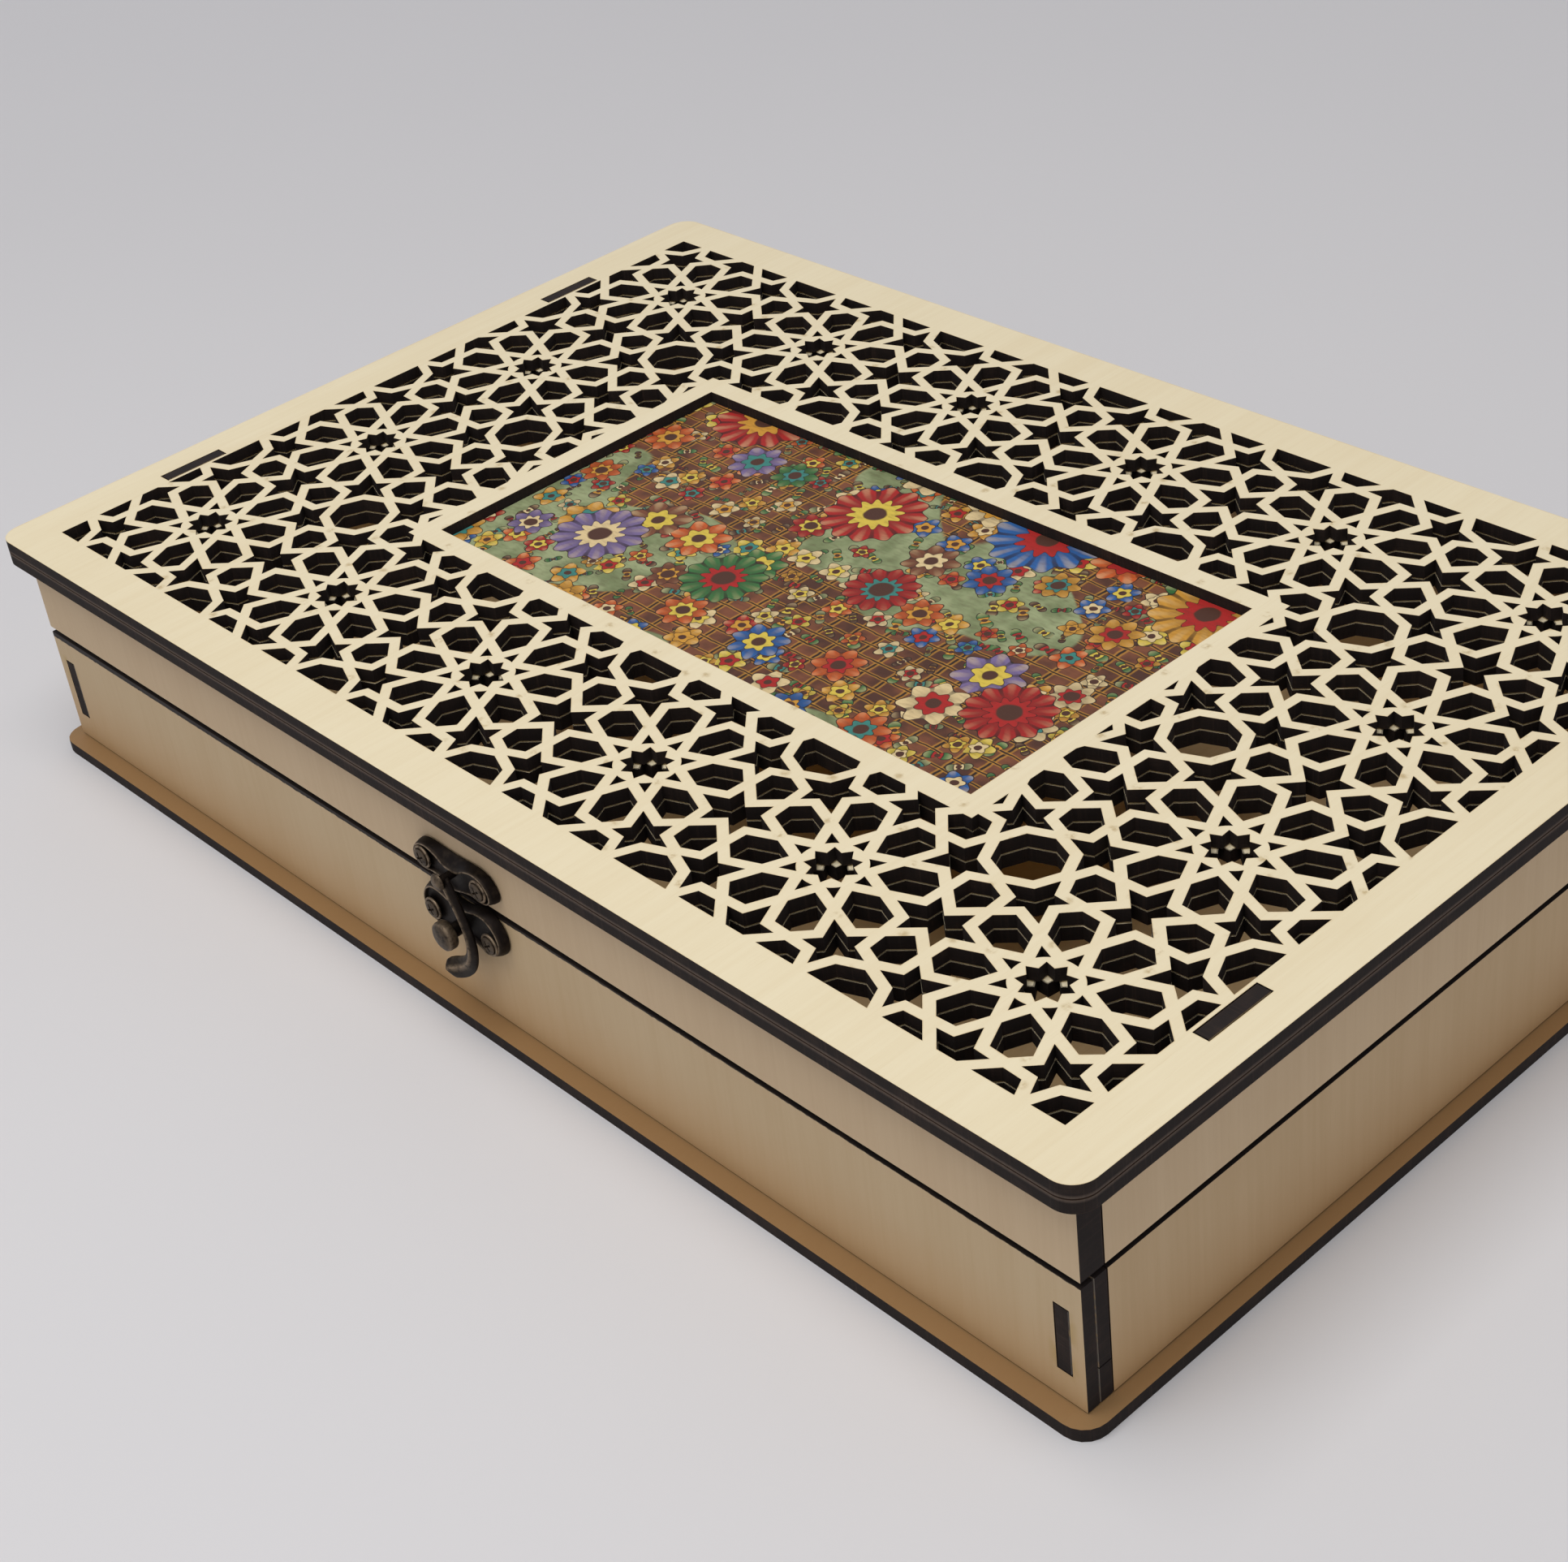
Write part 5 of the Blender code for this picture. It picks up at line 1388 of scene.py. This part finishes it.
def softened_copy(name, body, node, material):
    """A copy of a node with its sharp edges rounded."""
    bm = bmesh.new()
    bm.from_mesh(frame["nodes"][node].data)
    bmesh.ops.remove_doubles(bm, verts=bm.verts[:], dist=LEAF_WELD)
    bmesh.ops.dissolve_limit(bm, angle_limit=math.radians(1), verts=bm.verts[:], edges=bm.edges[:])
    piece = mesh_piece(name, bm, material)
    bevel = piece.modifiers.new("Soft edges", "BEVEL")
    bevel.width = LEAF_SOFTNESS
    bevel.segments = 2
    bevel.limit_method = "ANGLE"
    bevel.angle_limit = math.radians(LEAF_BEVEL_ANGLE)
    bevel.harden_normals = False
    piece.data.shade_smooth()
    piece.data.set_sharp_from_angle(angle=math.radians(CAST_ANGLE))
    stand_for(piece, body, BRONZE_SLOT, node)


# Printed card

def flowers(graph, position, ground, spacing, radius, petals, depth, shift, colours):
    """Flowers strewn over the ground, one on each seed point, with pleated petals and a heart."""
    moved = graph.vector("ADD", position, (shift, shift * SHIFT_LEAN, 0.0))
    seeds = graph.cells(moved, spacing, FLOWER_SCATTER)
    away = graph.split(graph.vector("SUBTRACT", moved, seeds["Position"]))
    chance = graph.add("ShaderNodeSeparateColor", {"Color": seeds["Color"]}).outputs
    distance = graph.radius(away)
    angle = graph.math("ARCTAN2", away["Y"], away["X"])
    angle = graph.times_plus(chance["Green"], FLOWER_TURN, angle)
    wave = graph.math("COSINE", graph.times(angle, float(petals)))
    size = graph.times_plus(chance["Blue"], FLOWER_GROWTH * radius, FLOWER_SIZE * radius)
    reach = graph.times(size, graph.times_plus(wave, depth, 1.0 - depth))
    inside = graph.minus(reach, distance)
    outline = graph.smooth(inside, *INK_REACH)
    petal = graph.smooth(inside, *PETAL_REACH)
    tint = graph.palette(chance["Red"], colours)
    ray = graph.times(graph.smooth(wave, 0.2, 1.0), graph.smooth(distance, 0.3 * radius, radius))
    tint = graph.blend(graph.times(ray, RAY_AMOUNT), tint, PRINT_CREAM)
    pleat = graph.times(graph.smooth(wave, -0.6, -0.95), graph.smooth(distance, 0.0, size))
    shade = graph.times(graph.fade(distance, 0.15 * radius, 0.8 * radius), SHADE_AMOUNT)
    dark = graph.times(graph.math("MAXIMUM", pleat, shade), PETAL_DARKEST)
    tint = graph.blend(dark, tint, PRINT_LINE)
    others = graph.palette(chance["Green"], HEART_COLOURS)
    inner_reach = graph.times(size, graph.times_plus(wave, HEART_WAVE, HEART_SHARE))
    inner = graph.minus(inner_reach, distance)
    tint = graph.blend(graph.smooth(inner, -HEART_LINE, 0.0), tint, PRINT_LINE)
    tint = graph.blend(graph.smooth(inner, 0.0, HEART_LINE), tint, others)
    tint = graph.blend(graph.fade(distance, 0.18 * radius, 0.22 * radius), tint, PRINT_EARTH)
    return graph.blend(petal, graph.blend(outline, ground, PRINT_LINE), tint)


def trellis(graph, position, ground):
    """Thin dark slats crossing over the ground, with lighter wood beside them."""
    parts = graph.split(position)
    colour = ground
    for axis, spacing in SLAT_SPACINGS:
        away = graph.gap(graph.math("FRACT", graph.math("DIVIDE", parts[axis], spacing)), 0.5)
        light, dark = graph.fade(away, *SLAT_WOOD), graph.fade(away, *SLAT_LINE)
        colour = graph.blend(graph.times(light, 0.5), colour, PRINT_OCHRE)
        colour = graph.blend(dark, colour, PRINT_LINE)
    return colour


def printed_card():
    """A garden print: trellis panels and lawn strewn with flowers, the largest on top."""
    material, graph, shader, position, _ = new_material("printed_garden_card")
    flat = graph.vector("MULTIPLY", position, (1.0, 1.0, 0.0))
    sway = graph.add("ShaderNodeTexNoise", {"Vector": flat, "Scale": SWAY_SCALE, "Detail": 2.0})
    drawn = graph.vector("SUBTRACT", sway.outputs["Color"], (0.5, 0.5, 0.5))
    drawn = graph.vector("ADD", flat, graph.scaled(drawn, PRINT_WOBBLE))
    lawn = graph.blend(graph.smooth(graph.noise(flat, LAWN_SCALE, 3.0, 0.6), 0.35, 0.65),
                       PRINT_SAGE, PRINT_MOSS)
    boards = graph.blend(graph.smooth(graph.noise(flat, BOARD_SCALE, 3.0, 0.6), 0.38, 0.62),
                         PRINT_RUST, PRINT_EARTH)
    boards = trellis(graph, drawn, boards)
    patch = graph.noise(flat, PATCH_SCALE, 1.0, 0.4)
    colour = graph.blend(graph.smooth(patch, *BOARD_PATCHES), lawn, boards)
    for layer in FLOWER_LAYERS:
        colour = flowers(graph, drawn, colour, *layer)
    speckle = graph.noise(position, SPECKLE_SCALE, 3.0, 0.7)
    brushed = graph.noise(graph.vector("MULTIPLY", drawn, (1.0, 3.0, 1.0)), BRUSH_SCALE, 2.0)
    tired = graph.times(graph.smooth(brushed, 0.4, 0.8), 0.3)
    colour = graph.blend(tired, colour, PRINT_EARTH)
    colour = graph.blend(graph.times(speckle, 0.08), colour, PRINT_LINE)
    graph.feed(shader.inputs["Base Color"], colour)
    graph.feed(shader.inputs["Roughness"], graph.times_plus(speckle, 0.15, 0.55))
    bump(graph, shader, speckle, PRINT_BUMP, PRINT_BUMP_DEPTH)
    shader.inputs["Specular IOR Level"].default_value = PRINT_SPECULAR
    return material


# Whole box

def dress_walls():
    """Plywood on every node that stays as it is."""
    # The foot mark is painted warm shade towards the foot of a wall
    glue, warm = (GLUE, glue_line), (FOOT_SHADE_TONE, painted_foot_shade)
    # The front's seam mark is soot with painted shadow under the lid
    front_marks = [warm, (SOOT, slot_soot), (CHAR_AND_SHADOW, seam_soot_and_shadow)]
    dress("base_plate", Z_AXIS, Y_AXIS, INSIDE_WOOD, [(LEDGE_TONE, ledge_shade)])
    for side in ("left", "right"):
        dress(f"base_{side}_wall", X_AXIS, Z_AXIS, INSIDE_WOOD, [glue])
        dress(f"base_{side}_skin", X_AXIS, Z_AXIS, TRAY_SIDE_WOOD_AND_SHADE, [warm])
        dress(f"lid_{side}_wall", X_AXIS, Z_AXIS, INSIDE_WOOD)
        dress(f"lid_{side}_skin", X_AXIS, Z_AXIS, LID_SIDE_WOOD_AND_SHADE)
    for side, marks in (("front", front_marks), ("back", [warm])):
        for strip in ("upper", "lower"):
            dress(f"base_{side}_liner_{strip}", Y_AXIS, Z_AXIS, INSIDE_WOOD, [glue])
        dress(f"base_{side}_skin", Y_AXIS, Z_AXIS, TRAY_WOOD_AND_SHADE, marks)
        dress(f"lid_{side}_wall", Y_AXIS, Z_AXIS, LID_WALL_WOOD_AND_SHADE)


def dress(node, thickness_axis, grain_axis, wood, marks=()):
    low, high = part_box(node)
    axis = Vector(thickness_axis)
    cover(node, plywood(node + "_plywood", thickness_axis, grain_axis,
                        low.dot(axis), high.dot(axis), wood, WALL_CONTRAST, marks))


def cover(node, material):
    """Put the material in every slot of a node."""
    for slot in frame["nodes"][node].material_slots:
        slot.material = material


def build_lid():
    lattice_panel("lid_top_lattice", "top_lattice", True, 0.0, STAR_NOTCH_SHARE, 1)
    lattice_panel("lid_under_lattice", "under_lattice", False, LEDGE / 2, UNDER_NOTCH_SHARE, -1)
    cover("picture_card", printed_card())


def build_latch():
    cast = bronze_material("cast_bronze")
    latch_plate("upper_wing_plate", "lid", "latch_upper_plate", UPPER_BACK_SHARES,
                UPPER_FACE_SHARES, UPPER_WING_HEIGHT, cast)
    latch_plate("lower_wing_plate", "base", "latch_lower_plate", LOWER_BACK_SHARES,
                LOWER_FACE_SHARES, LOWER_WING_HEIGHT, cast)
    hook_piece(cast)
    turned_piece("hook_rivet", "lid", "latch_pivot_rivet", RIVET_RINGS, RIVET_SIDES, cast)
    turned_piece("latch_knob_turned", "base", "latch_knob", KNOB_RINGS, KNOB_SIDES, cast)


def build_screws():
    steel = bronze_material("screw_bronze")
    names = [node for node in frame["nodes"] if "screw" in node]
    lid = [node for node in names if "upper" in node or "hinge_lid" in node]
    base = [node for node in names if node not in lid]
    screw_set("lid_screws", "lid", lid, steel)
    screw_set("base_screws", "base", base, steel)


def build_hinges():
    plate = bronze_material("hinge_bronze")
    for side in ("left", "right"):
        for half, body in (("lower", "base"), ("upper", "lid")):
            softened_copy(f"hinge_{side}_{half}", body, f"hinge_{side}_{body}_leaf", plate)
        cover(f"hinge_{side}_pin", plate)


def floor_material():
    """A pale floor that keeps its tone far from the lamps, where only the camera sees it."""
    material, graph, shader, position, _ = new_material("pale_floor")
    cloud = graph.noise(position, FLOOR_CLOUD_SCALE, 2.0)
    shaded = graph.blend(1.0, FLOOR_TONE, FLOOR_SHADE, "MULTIPLY")
    graph.feed(shader.inputs["Base Color"], graph.blend(cloud, FLOOR_TONE, shaded))
    shader.inputs["Roughness"].default_value = FLOOR_ROUGHNESS
    seen = graph.add("ShaderNodeLightPath").outputs["Is Camera Ray"]
    away = graph.smooth(graph.vector("LENGTH", position), FLOOR_LIT_REACH, FLOOR_DARK_REACH)
    shader.inputs["Emission Color"].default_value = BACKDROP_TONE
    graph.feed(shader.inputs["Emission Strength"], graph.times(graph.times(away, seen), FLOOR_LIFT))
    return material


def build_studio():
    """A pale floor, soft lamps and the camera."""
    bm = bmesh.new()
    bmesh.ops.create_grid(bm, x_segments=1, y_segments=1, size=FLOOR_SIZE)
    floor = mesh_piece("studio_floor", bm, floor_material())
    scene = bpy.context.scene
    world = bpy.data.worlds.new("studio_world")
    world.use_nodes = True
    scene.world = world
    graph = Graph(world.node_tree)
    rays = graph.add("ShaderNodeLightPath").outputs
    seen = graph.math("MAXIMUM", rays["Is Camera Ray"], rays["Is Glossy Ray"])
    seen = graph.math("MAXIMUM", seen, rays["Is Transmission Ray"])
    background = world.node_tree.nodes["Background"]
    graph.feed(background.inputs["Color"], graph.blend(seen, AMBIENT_TONE, BACKDROP_TONE))
    strength = graph.times_plus(seen, 1.0 - AMBIENT_STRENGTH, AMBIENT_STRENGTH)
    graph.feed(background.inputs["Strength"], strength)
    for name, place, size, power, colour in LAMPS:
        lamp = bpy.data.lights.new(name, "AREA")
        lamp.shape = "SQUARE"
        lamp.size = size
        lamp.energy = power
        lamp.color = colour
        holder = put(name, lamp)
        holder.location = place
        holder.rotation_euler = (-Vector(place)).to_track_quat("-Z", "Y").to_euler()
    camera = bpy.data.cameras.new("photo_camera")
    camera.lens = CAMERA_LENS
    camera.clip_start = CAMERA_CLIP
    stand = put("photo_camera", camera)
    look = Vector(CAMERA_AIM) - Vector(CAMERA_PLACE)
    turn = look.to_track_quat("-Z", "Y").to_matrix().to_4x4()
    roll = Matrix.Rotation(math.radians(CAMERA_ROLL), 4, "Z")
    stand.matrix_world = Matrix.Translation(CAMERA_PLACE) @ turn @ roll
    scene.camera = stand
    scene.view_settings.view_transform = "Standard"


CUT_SHEET = cut_sheet_group()
SCREWS = screw_group()
dress_walls()
build_lid()
build_latch()
build_screws()
build_hinges()
build_studio()
